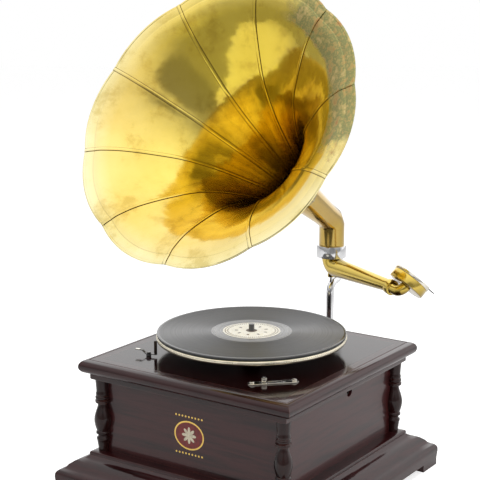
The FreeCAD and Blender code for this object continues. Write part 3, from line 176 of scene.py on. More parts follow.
paper_glow = reckon(paper_tree, "MULTIPLY_ADD", paper_rays["Is Transmission Ray"], 0.62, paper_glow)
paper_tree.links.new(paper_glow, paper_shader.inputs["Emission Strength"])
sweep_mesh.materials.append(paper)


# Plinth: four mahogany rails cut to one moulded section, mitred at the corners and standing on
# square feet. The frame is one section swung round the square, so its corners are true mitres.
def finish_material(name, colour, metallic, roughness):
    """A new material with its node tree and its shader."""
    material = bpy.data.materials.new(name)
    material.use_nodes = True
    shader = material.node_tree.nodes["Principled BSDF"]
    shader.inputs["Base Color"].default_value = (*colour, 1)
    shader.inputs["Metallic"].default_value = metallic
    shader.inputs["Roughness"].default_value = roughness
    return material, material.node_tree, shader


def stretched(tree, scale=(1, 1, 1)):
    """Object coordinates, stretched where a pattern runs long along one axis."""
    mapping = tree.nodes.new("ShaderNodeMapping")
    mapping.inputs["Scale"].default_value = scale
    tree.links.new(tree.nodes.new("ShaderNodeTexCoord").outputs["Object"], mapping.inputs["Vector"])
    return mapping.outputs[0]


def noise(tree, vector, scale, detail, roughness):
    """A cloudy pattern between 0 and 1."""
    node = tree.nodes.new("ShaderNodeTexNoise")
    node.inputs["Scale"].default_value = scale
    node.inputs["Detail"].default_value = detail
    node.inputs["Roughness"].default_value = roughness
    tree.links.new(vector, node.inputs["Vector"])
    return node.outputs["Fac"]


def bump(tree, shader, height, strength, distance):
    """Lets a pattern raise and sink the surface."""
    node = tree.nodes.new("ShaderNodeBump")
    node.inputs["Strength"].default_value = strength
    node.inputs["Distance"].default_value = distance
    tree.links.new(height, node.inputs["Height"])
    tree.links.new(node.outputs[0], shader.inputs["Normal"])


def mahogany(name, grain, dark=(0.010, 0.0022, 0.0026), warm=(0.040, 0.0078, 0.0080), haze=0.2, varnish=0.5,
             polish=0.04):
    """Dark red mahogany, streaked along the grain, under a thick varnish that is rubbed at the edges."""
    material, tree, shader = finish_material(name, warm, 0, 0.42)
    streaks = noise(tree, stretched(tree, grain), 9.0, 8.0, 0.62)
    colour = ramp(tree, streaks, ((0.30, dark), (0.52, warm), (0.72, dark)))
    eased = tree.nodes.new("ShaderNodeBevel")
    eased.samples = 4
    eased.inputs["Radius"].default_value = 0.0018
    facing = tree.nodes.new("ShaderNodeNewGeometry").outputs["Normal"]
    edge = ramp(tree, measure(tree, "DOT_PRODUCT", eased.outputs[0], facing), ((0.86, (1, 1, 1)), (0.985, (0, 0, 0))))
    scuffs = noise(tree, stretched(tree), 38.0, 6.0, 0.70)
    scuffed = ramp(tree, scuffs, ((0.42, (0, 0, 0)), (0.60, (0.9, 0.9, 0.9))))
    rubbed = laid_over(tree, "MULTIPLY", 1, edge, scuffed)
    bared = laid_over(tree, "MIX", rubbed, colour, (0.095, 0.030, 0.022, 1))
    tree.links.new(bared, shader.inputs["Base Color"])
    tree.links.new(spread(tree, streaks, 0.26, 0.40), shader.inputs["Roughness"])
    shader.inputs["Specular IOR Level"].default_value = haze
    shader.inputs["Coat Weight"].default_value = varnish
    shader.inputs["Coat Roughness"].default_value = polish
    bump(tree, shader, streaks, 0.12, 0.0004)
    return material


def piece(name, bm, material, body, stands_for, crease=38):
    """Turns a shaped mesh into a finished piece that rides on its body and stands for its nodes."""
    bmesh.ops.remove_doubles(bm, verts=bm.verts, dist=0.000002)
    bmesh.ops.recalc_face_normals(bm, faces=bm.faces)
    mesh = bpy.data.meshes.new(name)
    bm.to_mesh(mesh)
    bm.free()
    mesh.shade_smooth()
    mesh.set_sharp_from_angle(angle=math.radians(crease))
    mesh.materials.append(material)
    made = bpy.data.objects.new(name, mesh)
    scene.collection.objects.link(made)
    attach(made, body)
    if stands_for:
        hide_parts(*stands_for)


def loop_of(bm, points):
    """A closed loop of edges through the given points."""
    corners = [bm.verts.new(point) for point in points]
    return [bm.edges.new((corners[i - 1], corners[i])) for i in range(len(corners))]


def square_frame(bm, section):
    """Swings a section of (distance out, height) round the cabinet's square, mitred at the corners."""
    centre = Vector((0, middle_y, 0))
    edges = loop_of(bm, [centre + Vector((out * mm, -out * mm, up * mm)) for out, up in section])
    corners = list({corner for edge in edges for corner in edge.verts})
    bmesh.ops.spin(bm, geom=corners + edges, cent=centre, axis=(0, 0, 1), angle=math.tau, steps=4,
                   use_merge=True)


rail_wood = mahogany("mahogany_rails", (1.0, 1.0, 12.0), (0.007, 0.0016, 0.0019), (0.028, 0.0055, 0.0058),
                     haze=0.10, varnish=0.62)
plinth_section = [(125, 10), (125, 53), (151, 53)]
plinth_section += [(152.2, 52.5), (153.0, 51.2), (153.1, 50.1), (153.1, 47.7)]
plinth_section += [(154.6, 46.7), (156.6, 45.2), (158.6, 44.1), (160.8, 43.5)]
plinth_section += [(163.6, 42.6), (167.0, 40.9), (170.0, 38.6), (172.7, 36.6), (175.5, 32.9)]
plinth_section += [(179.0, 31.0), (181.4, 30.0), (183.6, 28.3), (185.2, 26.0), (185.9, 23.4), (186.0, 20.1)]
plinth_section += [(185.0, 10)]
plinth = bmesh.new()
square_frame(plinth, plinth_section)
foot_reach = 146 * mm
foot_height = 10 * mm
for across in ((1, 0, 0), (0, 1, 0)):
    for side in (-1, 1):
        cut_at = Vector(across) * side * foot_reach + Vector((0, middle_y, 0))
        bmesh.ops.bisect_plane(plinth, geom=plinth.verts[:] + plinth.edges[:] + plinth.faces[:],
                               plane_co=cut_at, plane_no=across)
plinth.normal_update()
soles = []
for face in plinth.faces:
    spot = face.calc_center_median()
    at_corner = abs(spot.x) > foot_reach and abs(spot.y - middle_y) > foot_reach
    if abs(face.normal.z) > 0.9 and spot.z < foot_height + 0.1 * mm and at_corner:
        soles.append(face)
feet = bmesh.ops.extrude_face_region(plinth, geom=soles)
lowered = [part for part in feet["geom"] if isinstance(part, bmesh.types.BMVert)]
bmesh.ops.translate(plinth, verts=lowered, vec=(0, 0, -foot_height))
bmesh.ops.delete(plinth, geom=soles, context="FACES_ONLY")
piece("plinth", plinth, rail_wood, "cabinet",
      ("plinth_front", "plinth_right", "plinth_back", "plinth_left"), 32)


# Cabinet boards: four flat mahogany boards, grain running level, rubbed and varnished. The boards
# and the base are plain, so the solids stand as they are.
def dress(names, material):
    """Gives solids that stand as they are their finish."""
    for name in names:
        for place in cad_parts[name].material_slots:
            place.material = material


front_wood = mahogany("mahogany_front", (0.7, 8.0, 9.0))
side_wood = mahogany("mahogany_sides", (8.0, 0.7, 9.0))
top_wood = mahogany("mahogany_top", (0.7, 8.0, 9.0), (0.004, 0.0010, 0.0010), (0.014, 0.0028, 0.0026),
                    haze=0.0, varnish=1.0, polish=0.12)
dress(("case_front", "case_back", "base_board"), front_wood)
dress(("case_left", "case_right"), side_wood)
dress(("motor_board",), top_wood)

# Frieze: a thin mahogany frame that caps the boards and the pillars, glued down on both. Its lower
# outer edge is eased, so that it throws a soft line of shade on the front.
frieze = bmesh.new()
square_frame(frieze, [(125, 151), (125, 160), (151, 160), (151, 153), (150.4, 151.6), (149, 151)])
piece("frieze", frieze, rail_wood, "cabinet", ("frieze_board",))

# Top edging: a round-nosed mahogany lipping mitred round the motor board, with a fine bead
# scratched along its upper edge.
lipping = [(140, 160), (140, 178), (150.6, 178), (151.4, 177.3), (152.2, 178)]
nose_out, nose_up, nose_radius, nose_steps = 153, 169, 9, 12
for step in range(nose_steps + 1):
    turn = math.pi / 2 - math.pi * step / nose_steps
    lipping.append((nose_out + nose_radius * math.cos(turn), nose_up + nose_radius * math.sin(turn)))
top_edge = bmesh.new()
square_frame(top_edge, lipping)
piece("top_edging", top_edge, rail_wood, "cabinet",
      ("top_edge_front", "top_edge_right", "top_edge_back", "top_edge_left"), 32)

# Corner pillars: four turned mahogany columns with a swelling body between groups of rings, set in
# the corners between plinth and frieze.
pillar_rings = ((6.48, 0), (6.9, 5), (7.74, 11), (8.26, 14.7), (8.89, 16.2), (8.89, 18.1), (6.9, 20.1),
                (6.8, 22.0), (9.41, 24.0), (9.51, 26.3), (8.36, 27.9), (9.41, 31), (10.66, 35.5), (11.4, 40),
                (11.5, 43.5), (11.08, 47), (10.14, 51), (8.89, 55), (7.53, 58.8), (6.59, 61.7), (6.33, 65.2),
                (9.62, 66.6), (9.83, 69.6), (8.36, 70.8), (9.3, 72.0), (9.41, 74.5), (8.15, 75.7),
                (8.68, 76.9), (8.78, 79.4), (8.05, 80.6), (8.15, 84), (8.57, 91), (9.2, 98))
pillar_wood = mahogany("mahogany_turned", (9.0, 9.0, 0.8), (0.004, 0.0014, 0.0014), (0.016, 0.0042, 0.0036), haze=0.10)
pillar_out, pillar_foot = 140, 53
pillars = bmesh.new()


def turned(bm, rings, centre, steps):
    """Turns a profile of (radius, height) once about an upright axis."""
    corners = [bm.verts.new(centre + Vector((radius * mm, 0, up * mm))) for radius, up in rings]
    edges = [bm.edges.new(pair) for pair in zip(corners, corners[1:])]
    bmesh.ops.spin(bm, geom=corners + edges, cent=centre, axis=(0, 0, 1), angle=math.tau, steps=steps, use_merge=True)


for x in (-pillar_out, pillar_out):
    for y in (-pillar_out, pillar_out):
        pillar_spot = Vector((x * mm, middle_y + y * mm, pillar_foot * mm))
        turned(pillars, ((0, 0), *pillar_rings, (0, 98)), pillar_spot, 48)
piece("pillars", pillars, pillar_wood, "cabinet", ("corner_pillars",), 50)


# Speed plate: a nickelled quadrant plate across the front right corner, held by two domed screws,
# with a comb of engraved graduations along its inner edge.
def softened(name, source, material, body, width, crease=38):
    """A copy of a solid's mesh with its sharp edges slightly eased, as polishing leaves them."""
    bm = bmesh.new()
    bm.from_mesh(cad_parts[source].data)
    bmesh.ops.remove_doubles(bm, verts=bm.verts, dist=0.000005)
    bmesh.ops.dissolve_limit(bm, angle_limit=math.radians(1), verts=bm.verts, edges=bm.edges)
    bm.normal_update()
    sharp = [edge for edge in bm.edges if edge.is_manifold and edge.calc_face_angle() > math.radians(48)]
    if width:
        bmesh.ops.bevel(bm, geom=sharp, offset=width * mm, offset_type="OFFSET", segments=2, profile=0.5,
                        affect="EDGES", clamp_overlap=True, material=-1)
    piece(name, bm, material, body, (source,), crease)


def plated(name, colour, rough_low, rough_high, patch_scale):
    """Polished metal with soft cloudy wear in its tone and gloss and a slightly uneven surface."""
    material, tree, shader = finish_material(name, colour, 1, rough_low)
    cloud = noise(tree, stretched(tree), patch_scale, 5.0, 0.6)
    dull = tuple(0.78 * part for part in colour)
    tree.links.new(ramp(tree, cloud, ((0.32, dull), (0.58, colour))), shader.inputs["Base Color"])
    tree.links.new(spread(tree, cloud, rough_low, rough_high), shader.inputs["Roughness"])
    bump(tree, shader, cloud, 0.10, 0.0006)
    return material


nickel = plated("nickel_plate", (0.80, 0.76, 0.68), 0.08, 0.20, 60)
dress(("spindle_bush",), nickel)
softened("quadrant_plate", "speed_plate", nickel, "cabinet", 0.2)
softened("quadrant_screws", "speed_plate_screws", nickel, "cabinet", 0.5)


def painted(name, colour, worn, rough):
    """A thin coat of paint, a little uneven in tone and gloss where it has been rubbed."""
    material, tree, shader = finish_material(name, colour, 0, rough)
    patches = noise(tree, stretched(tree), 220, 5.0, 0.65)
    tree.links.new(ramp(tree, patches, ((0.36, worn), (0.56, colour))), shader.inputs["Base Color"])
    tree.links.new(spread(tree, patches, rough + 0.15, rough - 0.1), shader.inputs["Roughness"])
    bump(tree, shader, patches, 0.15, 0.0002)
    return material


ink = painted("engraver_black", (0.012, 0.011, 0.010), (0.035, 0.032, 0.030), 0.55)
graduations = bmesh.new()
plate_middle, plate_top = 97.6, 179.2
plate_turn = Matrix.Translation(Vector((plate_middle * mm, middle_y - plate_middle * mm, plate_top * mm)))
plate_turn @= Matrix.Rotation(math.radians(45), 4, "Z")
mark_count, mark_pitch, mark_edge = 23, 2.1, 5.3
for count in range(mark_count):
    long = 2.4 if count % 4 else 2.9
    along = (count - mark_count // 2) * mark_pitch
    spot = Matrix.Translation(Vector((along * mm, (mark_edge - long / 2) * mm, 0.02 * mm)))
    mark = bmesh.ops.create_cube(graduations, size=1)["verts"]
    shape = Matrix.Diagonal((1.25 * mm, long * mm, 0.06 * mm, 1))
    bmesh.ops.transform(graduations, matrix=plate_turn @ spot @ shape, verts=mark)
piece("graduations", graduations, ink, "cabinet", ())

# Speed lever: a nickelled pointer with a turned knob, swinging over the graduations. It is pinned to
# a steel post that goes through the board to the governor's friction pad.
softened("speed_pointer", "speed_lever", nickel, "speed", 0.35)
steel = plated("blued_steel", (0.16, 0.155, 0.15), 0.24, 0.42, 80)
dress(("speed_post",), steel)

# Brake: a bent spring-steel lever with a bright tip, turning on a shouldered post, and a leather pad
# that meets the platter.
softened("brake_pivot", "brake_post", steel, "cabinet", 0.2)
brake_spot = sum(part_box("brake_post"), Vector()) / 2
pad_way = sum(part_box("brake_pad"), Vector()) / 2 - brake_spot
brake_place = Matrix.Translation(Vector((brake_spot.x, brake_spot.y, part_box("brake_lever")[0].z)))
brake_place @= Matrix.Rotation(math.atan2(pad_way.y, pad_way.x) + math.pi, 4, "Z")
bend_start, bend_length, bend_rise = 3.5, 6.5, 4.2


def spring_strip(bm, start, end, half):
    """A stretch of thin steel strip along the lever, which rises in an S and flattens towards its tip."""
    for corner in bmesh.ops.create_grid(bm, x_segments=20, y_segments=2, size=0.5)["verts"]:
        along = start + (end - start) * (corner.co.x + 0.5)
        share = min(max((along - bend_start) / bend_length, 0), 1)
        rise = bend_rise * share * share * (3 - 2 * share)
        corner.co = Vector((along * mm, corner.co.y * 2 * half * mm, rise * mm))


lever = bmesh.new()
spring_strip(lever, -11.5, 12.5, 1.9)
bmesh.ops.solidify(lever, geom=lever.faces[:], thickness=-1.0 * mm)
eye_radius = 3.8 * mm
eye = bmesh.ops.create_cone(lever, cap_ends=True, segments=32, radius1=eye_radius, radius2=eye_radius, depth=1.1 * mm)
bmesh.ops.translate(lever, verts=eye["verts"], vec=(0, 0, 0.6 * mm))
bmesh.ops.transform(lever, matrix=brake_place, verts=lever.verts)
piece("brake_arm", lever, steel, "brake", ("brake_lever",))
tip = bmesh.new()
spring_strip(tip, 12.5, 18.5, 2.1)
bmesh.ops.solidify(tip, geom=tip.faces[:], thickness=-1.2 * mm)
bmesh.ops.transform(tip, matrix=brake_place, verts=tip.verts)
piece("brake_tip", tip, nickel, "brake", ())


def fabric(name, colour, light, fibre_scale, sheen):
    """A soft fibrous face: fine mottling, no gloss and a faint sheen at its edges."""
    material, tree, shader = finish_material(name, colour, 0, 0.95)
    fibres = noise(tree, stretched(tree), fibre_scale, 6.0, 0.7)
    tree.links.new(ramp(tree, fibres, ((0.3, colour), (0.7, light))), shader.inputs["Base Color"])
    shader.inputs["Sheen Weight"].default_value = sheen
    bump(tree, shader, fibres, 0.5, 0.0004)
    return material


leather = fabric("leather", (0.014, 0.008, 0.006), (0.030, 0.018, 0.012), 900, 0.0)
softened("brake_leather", "brake_pad", leather, "brake", 0.4)
dress(("friction_pad",), leather)


# Platter: a spun iron plate, blackened below, with a hub that seats on the spindle and a rolled,
# nickelled rim that is finely beaded.
def about_spindle(tree):
    """Places across the turntable, measured from the spindle's axis."""
    mapping = tree.nodes.new("ShaderNodeMapping")
    mapping.inputs["Location"].default_value = (0, -middle_y, 0)
    mapping.inputs["Scale"].default_value = (1, 1, 0)
    tree.links.new(tree.nodes.new("ShaderNodeTexCoord").outputs["Object"], mapping.inputs["Vector"])
    return mapping.outputs[0]


def turn_about(tree, place):
    """The angle of a place round the spindle."""
    parts = parts_of(tree, place)
    return reckon(tree, "ARCTAN2", parts["Y"], parts["X"])


axis_foot = Vector((0, middle_y, 0))
platter = bmesh.new()
platter_rings = [(4, 187.8), (12, 187.8), (12, 199.3), (123, 199.3), (123, 201.8), (4, 201.8), (4, 187.8)]
turned(platter, platter_rings, axis_foot, 144)
black_iron = plated("black_iron", (0.022, 0.021, 0.020), 0.45, 0.60, 90)
piece("platter_disc", platter, black_iron, "turntable", ("platter",), 40)
rim = bmesh.new()
rim_bow = [(124.2 + 1.8 * math.sin(math.radians(turn)), 198.8 - 3.0 * math.cos(math.radians(turn)))
           for turn in range(0, 181, 15)]
turned(rim, [(123, 199.3), (123, 196.4), *rim_bow, (123, 201.8), (123, 199.3)], axis_foot, 144)
rim_metal = plated("platter_rim", (0.86, 0.79, 0.62), 0.14, 0.26, 60)
rim_tree = rim_metal.node_tree
bead_count = 240
bead_turn = reckon(rim_tree, "MULTIPLY", turn_about(rim_tree, about_spindle(rim_tree)), bead_count)
bump(rim_tree, rim_tree.nodes["Principled BSDF"], reckon(rim_tree, "SINE", bead_turn), 0.30, 0.0006)
piece("platter_rim", rim, rim_metal, "turntable", (), 40)

# Felt mat: a disc of dark wool felt glued to the platter. Its punched edge is a little rounded, and
# the record lies on its nap.
felt = fabric("felt", (0.010, 0.012, 0.011), (0.030, 0.034, 0.030), 1400, 0.25)
mat = bmesh.new()
mat_rings = [(4, 201.8), (124.6, 201.8), (124.9, 202.2), (124.9, 203.0), (124.5, 203.3), (4, 203.3), (4, 201.8)]
turned(mat, mat_rings, axis_foot, 144)
piece("felt_disc", mat, felt, "turntable", ("felt_mat",), 50)

# Record: a pressed black disc, grooved in three bands between a rounded rim and a smooth run-out
# ring. The groove walls are finer than the mesh, so they are carried by the finish.
record_disc = bmesh.new()
record_rings = [(3.9, 203.3), (124.0, 203.3), (124.7, 203.6), (125.0, 204.3), (125.0, 204.9), (124.7, 205.5),
                (124.1, 205.7), (122.4, 205.7), (121.8, 205.55), (53.2, 205.55), (52.6, 205.68),
                (39.2, 205.7), (38.6, 205.6), (3.9, 205.6), (3.9, 203.3)]
turned(record_disc, record_rings, axis_foot, 180)
shellac, shellac_tree, shellac_shader = finish_material("shellac", (0.012, 0.012, 0.012), 0, 0.3)
record_radius = 0.125
from_spindle = measure(shellac_tree, "LENGTH", about_spindle(shellac_tree))
record_share = spread(shellac_tree, from_spindle, 0, 1, 0, record_radius)
smooth, cut, gap, edge_gloss = (0.26, 0.26, 0.26), (0.44, 0.44, 0.44), (0.30, 0.30, 0.30), (0.16, 0.16, 0.16)
bands = ((0.0, smooth), (0.424, smooth), (0.426, cut), (0.555, cut), (0.556, gap), (0.559, cut),
         (0.73, cut), (0.731, gap), (0.734, cut), (0.972, cut), (0.975, edge_gloss))
shellac_tree.links.new(ramp(shellac_tree, record_share, bands), shellac_shader.inputs["Roughness"])
# Painted sheen: the smooth run-out ring is coloured a lighter grey than the black grooved bands.
tone = ramp(shellac_tree, record_share,
            ((0.40, (0.17, 0.17, 0.172)), (0.424, (0.17, 0.17, 0.172)), (0.43, (0.044, 0.044, 0.045)),
             (0.70, (0.054, 0.054, 0.055)), (0.97, (0.042, 0.042, 0.043)), (0.98, (0.05, 0.05, 0.051))))
turns = shellac_tree.nodes.new("ShaderNodeTexNoise")
turns.noise_dimensions = "1D"
turns.inputs["Scale"].default_value = 520
turns.inputs["Detail"].default_value = 3
shellac_tree.links.new(from_spindle, turns.inputs["W"])
wear = ramp(shellac_tree, turns.outputs["Fac"], ((0.35, (0.55, 0.55, 0.55)), (0.65, (1.3, 1.3, 1.3))))
shellac_tree.links.new(laid_over(shellac_tree, "MULTIPLY", 1, tone, wear), shellac_shader.inputs["Base Color"])
groove_rate = 9000
groove = reckon(shellac_tree, "SINE", reckon(shellac_tree, "MULTIPLY", from_spindle, groove_rate))
grooved = ramp(shellac_tree, record_share,
               ((0.425, (0, 0, 0)), (0.43, (1, 1, 1)), (0.970, (1, 1, 1)), (0.974, (0, 0, 0))))
bump(shellac_tree, shellac_shader, reckon(shellac_tree, "MULTIPLY", groove, grooved), 0.25, 0.00006)
shellac_shader.inputs["Specular IOR Level"].default_value = 1.0
shellac_shader.inputs["Anisotropic"].default_value = 0.97
shellac_shader.inputs["Anisotropic Rotation"].default_value = 0.25
round_way = shellac_tree.nodes.new("ShaderNodeTangent")
round_way.direction_type = "RADIAL"
round_way.axis = "Z"
shellac_tree.links.new(round_way.outputs[0], shellac_shader.inputs["Tangent"])
piece("record_disc", record_disc, shellac, "turntable", ("record",), 40)

# Record label: a round of cream paper pasted in the middle, printed in brown with two rings, a
# border of short strokes and a ring of small lozenges.
label = bmesh.new()
label_rings = [(3.9, 205.6), (37.8, 205.6), (38.0, 205.75), (37.7, 205.9), (3.9, 205.9), (3.9, 205.6)]
turned(label, label_rings, axis_foot, 96)
paper_label, label_tree, label_shader = finish_material("label_paper", (0.62, 0.60, 0.52), 0, 0.55)
label_radius = 0.038
label_place = about_spindle(label_tree)
label_share = spread(label_tree, measure(label_tree, "LENGTH", label_place), 0, 1, 0, label_radius)
label_angle = turn_about(label_tree, label_place)
cream, brown = (0.97, 0.96, 0.91), (0.10, 0.065, 0.045)
printed = ramp(label_tree, label_share,
               ((0.19, brown), (0.20, cream), (0.905, cream), (0.91, brown), (0.93, brown), (0.935, cream)))


def strokes(count, fullness, low, high):
    """A ring of short printed strokes: where a sine of the angle is high, between two radii."""
    sine = reckon(label_tree, "SINE", reckon(label_tree, "MULTIPLY", label_angle, count))
    band = ramp(label_tree, label_share,
                ((low, (0, 0, 0)), (low + 0.01, (1, 1, 1)), (high, (1, 1, 1)), (high + 0.01, (0, 0, 0))))
    return reckon(label_tree, "MULTIPLY", reckon(label_tree, "GREATER_THAN", sine, fullness), band)


for mask in (strokes(72, 0.2, 0.80, 0.86), strokes(9, 0.80, 0.46, 0.58)):
    printed = laid_over(label_tree, "MIX", mask, printed, (*brown, 1))
fibres = noise(label_tree, stretched(label_tree), 320, 6.0, 0.7)
foxing = ramp(label_tree, fibres, ((0.34, (0.86, 0.82, 0.72)), (0.55, (1, 1, 1))))
label_tree.links.new(laid_over(label_tree, "MULTIPLY", 1, printed, foxing), label_shader.inputs["Base Color"])
bump(label_tree, label_shader, fibres, 0.2, 0.0002)
piece("label_disc", label, paper_label, "turntable", ("record_label",), 40)

# Spindle: a turned steel shaft that carries the platter on its taper and runs in a bush in the board.
# Its end stands through the record's hole, with the tip rounded.
softened("spindle_shaft", "spindle", steel, "turntable", 1.8)

# Spring motor: two brass plates on posts under the board, with the barrel, train, governor and
# winding gears between them. It is out of sight, so the solids stand as they are.
gear_brass = plated("gear_brass", (0.62, 0.42, 0.13), 0.22, 0.38, 70)
dress(("motor_bottom_plate", "motor_top_plate", "spindle_wheel", "intermediate_wheel", "spring_barrel",
       "barrel_lid", "crown_wheel", "governor_weights", "governor_disc"), gear_brass)
dress(("motor_posts", "intermediate_arbor", "mainspring", "barrel_arbor", "governor_shaft", "governor_springs",
       "winding_shaft", "winding_bearing"), steel)

# Bracket: a chromed casting screwed to the back board. Its bent arm cranks under the tone arm,
# carries the lower pivot pin and rises to the collar that holds the horn.
chrome = plated("chrome", (0.74, 0.74, 0.75), 0.06, 0.16, 40)
softened("bracket_casting", "horn_bracket", chrome, "cabinet", 0.5)
softened("bracket_screw_heads", "bracket_screws", chrome, "cabinet", 0.6)


# Tone arm: a tapered brass tube, bent to a tight elbow while filled with pitch. It turns in the
# collar and on the lower pin, and painted shade darkens its underside.
def brass(name, colour, deep, rough_low, rough_high):
    """Polished yellow brass: cloudy lacquer, faint hammer waves and a deeper tone in patches."""
    material, tree, shader = finish_material(name, colour, 1, rough_low)
    place = stretched(tree)
    patches = noise(tree, place, 9.0, 3.0, 0.5)
    fine = noise(tree, place, 55.0, 5.0, 0.6)
    tree.links.new(ramp(tree, patches, ((0.36, deep), (0.60, colour))), shader.inputs["Base Color"])
    tree.links.new(spread(tree, fine, rough_low, rough_high), shader.inputs["Roughness"])
    shader.inputs["Coat Weight"].default_value = 0.45
    shader.inputs["Coat Roughness"].default_value = 0.06
    bump(tree, shader, patches, 0.16, 0.004)
    return material


arm_brass = brass("arm_brass", (0.80, 0.60, 0.14), (0.70, 0.50, 0.09), 0.12, 0.24)
arm_tree = arm_brass.node_tree
arm_colour = arm_tree.nodes["Principled BSDF"].inputs["Base Color"]
# Painted shade: the brass is darkened wherever its surface faces downward.
arm_facing = parts_of(arm_tree, arm_tree.nodes.new("ShaderNodeTexCoord").outputs["Normal"])
arm_upright = spread(arm_tree, arm_facing["Z"], 0, 1, -1, 1)
underside_painted_shade = ramp(arm_tree, arm_upright, ((0.18, (0.32, 0.29, 0.20)), (0.56, (1, 1, 1))))
arm_tree.links.new(laid_over(arm_tree, "MULTIPLY", 1, arm_colour.links[0].from_socket, underside_painted_shade), arm_colour)
softened("tone_arm_tube", "tonearm", arm_brass, "tone_arm", 0.3)

# Soundbox: a brass crook that carries a nickel-ringed brass cup, closed by a mica diaphragm that a
# steel stylus bar drives from the needle.
softened("crook", "soundbox_crook", arm_brass, "soundbox", 0.4)
softened("cup", "soundbox_cup", arm_brass, "soundbox", 0.6)
softened("clamp_ring", "soundbox_ring", nickel, "soundbox", 0.5)
softened("stylus", "stylus_bar", nickel, "soundbox", 0.2)
dress(("needle",), steel)
mica, mica_tree, mica_shader = finish_material("mica", (0.55, 0.52, 0.44), 0, 0.12)
flakes = noise(mica_tree, stretched(mica_tree), 120, 4.0, 0.6)
mica_tree.links.new(ramp(mica_tree, flakes, ((0.35, (0.42, 0.39, 0.31)), (0.65, (0.66, 0.63, 0.55)))),
                    mica_shader.inputs["Base Color"])
dress(("diaphragm",), mica)

# Horn elbow: three short lengths of brass tube cut at an angle and soldered, then a plain neck that
# widens to the bell. Its lower end drops into the bracket's collar.
# Painted shade: the elbow's brass is a darker copy of the arm's brass, a painted dark reflection of its surroundings.
shaded_elbow_brass = brass("shaded_elbow_brass", (0.54, 0.37, 0.085), (0.40, 0.25, 0.06), 0.10, 0.24)
softened("elbow", "horn_elbow", shaded_elbow_brass, "horn", 0, 16)


# Horn bell: ten petals of sheet brass, each swelling between its seams, creased at the lip. The brass is
# golden, with painted shade darkening it into the throat, a painted highlight paling it at the lip, the lower
# petals painted lighter than the upper, painted shade beside the seams, and it is weathered green on one side.
def curve_points(knots, steps):
    """Points on a smooth curve through flat knots, by cubic stretches with even tangents."""
    points = []
    for i in range(len(knots) - 1):
        before, start = knots[max(i - 1, 0)], knots[i]
        end, after = knots[i + 1], knots[min(i + 2, len(knots) - 1)]
        for step in range(steps):
            share = step / steps
            pair = []
            for axis in range(2):
                a, b, c, d = before[axis], start[axis], end[axis], after[axis]
                slope_in, slope_out = (c - a) / 2, (d - b) / 2
                rise = c - b
                pair.append(b + share * (slope_in + share * (3 * rise - 2 * slope_in - slope_out
                                                             + share * (slope_in + slope_out - 2 * rise))))
            points.append(tuple(pair))
    return points + [tuple(knots[-1])]


bell_knots = ((95, 22.65), (113.9, 27.8), (150.8, 39.6), (206.0, 59.6), (253.6, 84.3), (287.4, 113.9),
              (314.9, 143.8), (329.0, 166.6), (332.3, 176.0), (332.5, 178.0), (333.6, 181.4), (334.9, 187.0),
              (335.0, 191.5))
bell_line = curve_points(bell_knots, 4)
petals = 10
petal_turn = math.tau / petals
first_seam = math.pi / 2
rim_radius, petal_swell = 191.5, 4.5
neck_back, neck_height, horn_aside, horn_tilt = 205, 321, -0.7, 59
horn_place = Matrix.Translation(Vector((0, middle_y + neck_back * mm, neck_height * mm)))
horn_place @= Matrix.Rotation(math.radians(horn_aside), 4, "Z") @ Matrix.Rotation(math.radians(horn_tilt), 4, "X")


def swollen(radius, angle):
    """The radius at an angle, where each petal bulges between its two seams."""
    across = ((angle - first_seam) / petal_turn) % 1
    return radius + petal_swell * (radius / rim_radius) ** 2 * 4 * across * (1 - across)


bell = bmesh.new()
bell_steps = 120
corners = [bell.verts.new((0, radius * mm, along * mm)) for along, radius in bell_line]
edges = [bell.edges.new(pair) for pair in zip(corners, corners[1:])]
bmesh.ops.spin(bell, geom=corners + edges, cent=(0, 0, 0), axis=(0, 0, 1), angle=math.tau, steps=bell_steps,
               use_merge=True)
for corner in bell.verts:
    out = corner.co.xy.length
    corner.co.xy *= swollen(out / mm, math.atan2(corner.co.y, corner.co.x)) * mm / out
bmesh.ops.remove_doubles(bell, verts=bell.verts, dist=0.000002)
bmesh.ops.recalc_face_normals(bell, faces=bell.faces)
bmesh.ops.solidify(bell, geom=bell.faces[:], thickness=0.8 * mm)
bmesh.ops.transform(bell, matrix=horn_place, verts=bell.verts)
horn_brass = brass("horn_brass", (0.85, 0.66, 0.14), (0.77, 0.58, 0.10), 0.085, 0.17)
horn_tree = horn_brass.node_tree
horn_shader = horn_tree.nodes["Principled BSDF"]
clean_brass = horn_shader.inputs["Base Color"].links[0].from_socket
horn_point = horn_tree.nodes.new("ShaderNodeTexCoord").outputs["Object"]
from_neck = measure(horn_tree, "SUBTRACT", horn_point, horn_place.translation)
horn_right, horn_up, horn_ahead = (horn_place.col[axis].xyz for axis in range(3))
from_axis = measure(horn_tree, "LENGTH", measure(horn_tree, "CROSS_PRODUCT", from_neck, horn_ahead))
tone_reach = 0.2
axis_share = spread(horn_tree, from_axis, 0, 1, 0, tone_reach)
petal_angle = reckon(horn_tree, "ARCTAN2", measure(horn_tree, "DOT_PRODUCT", from_neck, horn_up),
                     measure(horn_tree, "DOT_PRODUCT", from_neck, horn_right))
turn_share = reckon(horn_tree, "MULTIPLY_ADD", petal_angle, 1 / math.tau, 0.5)
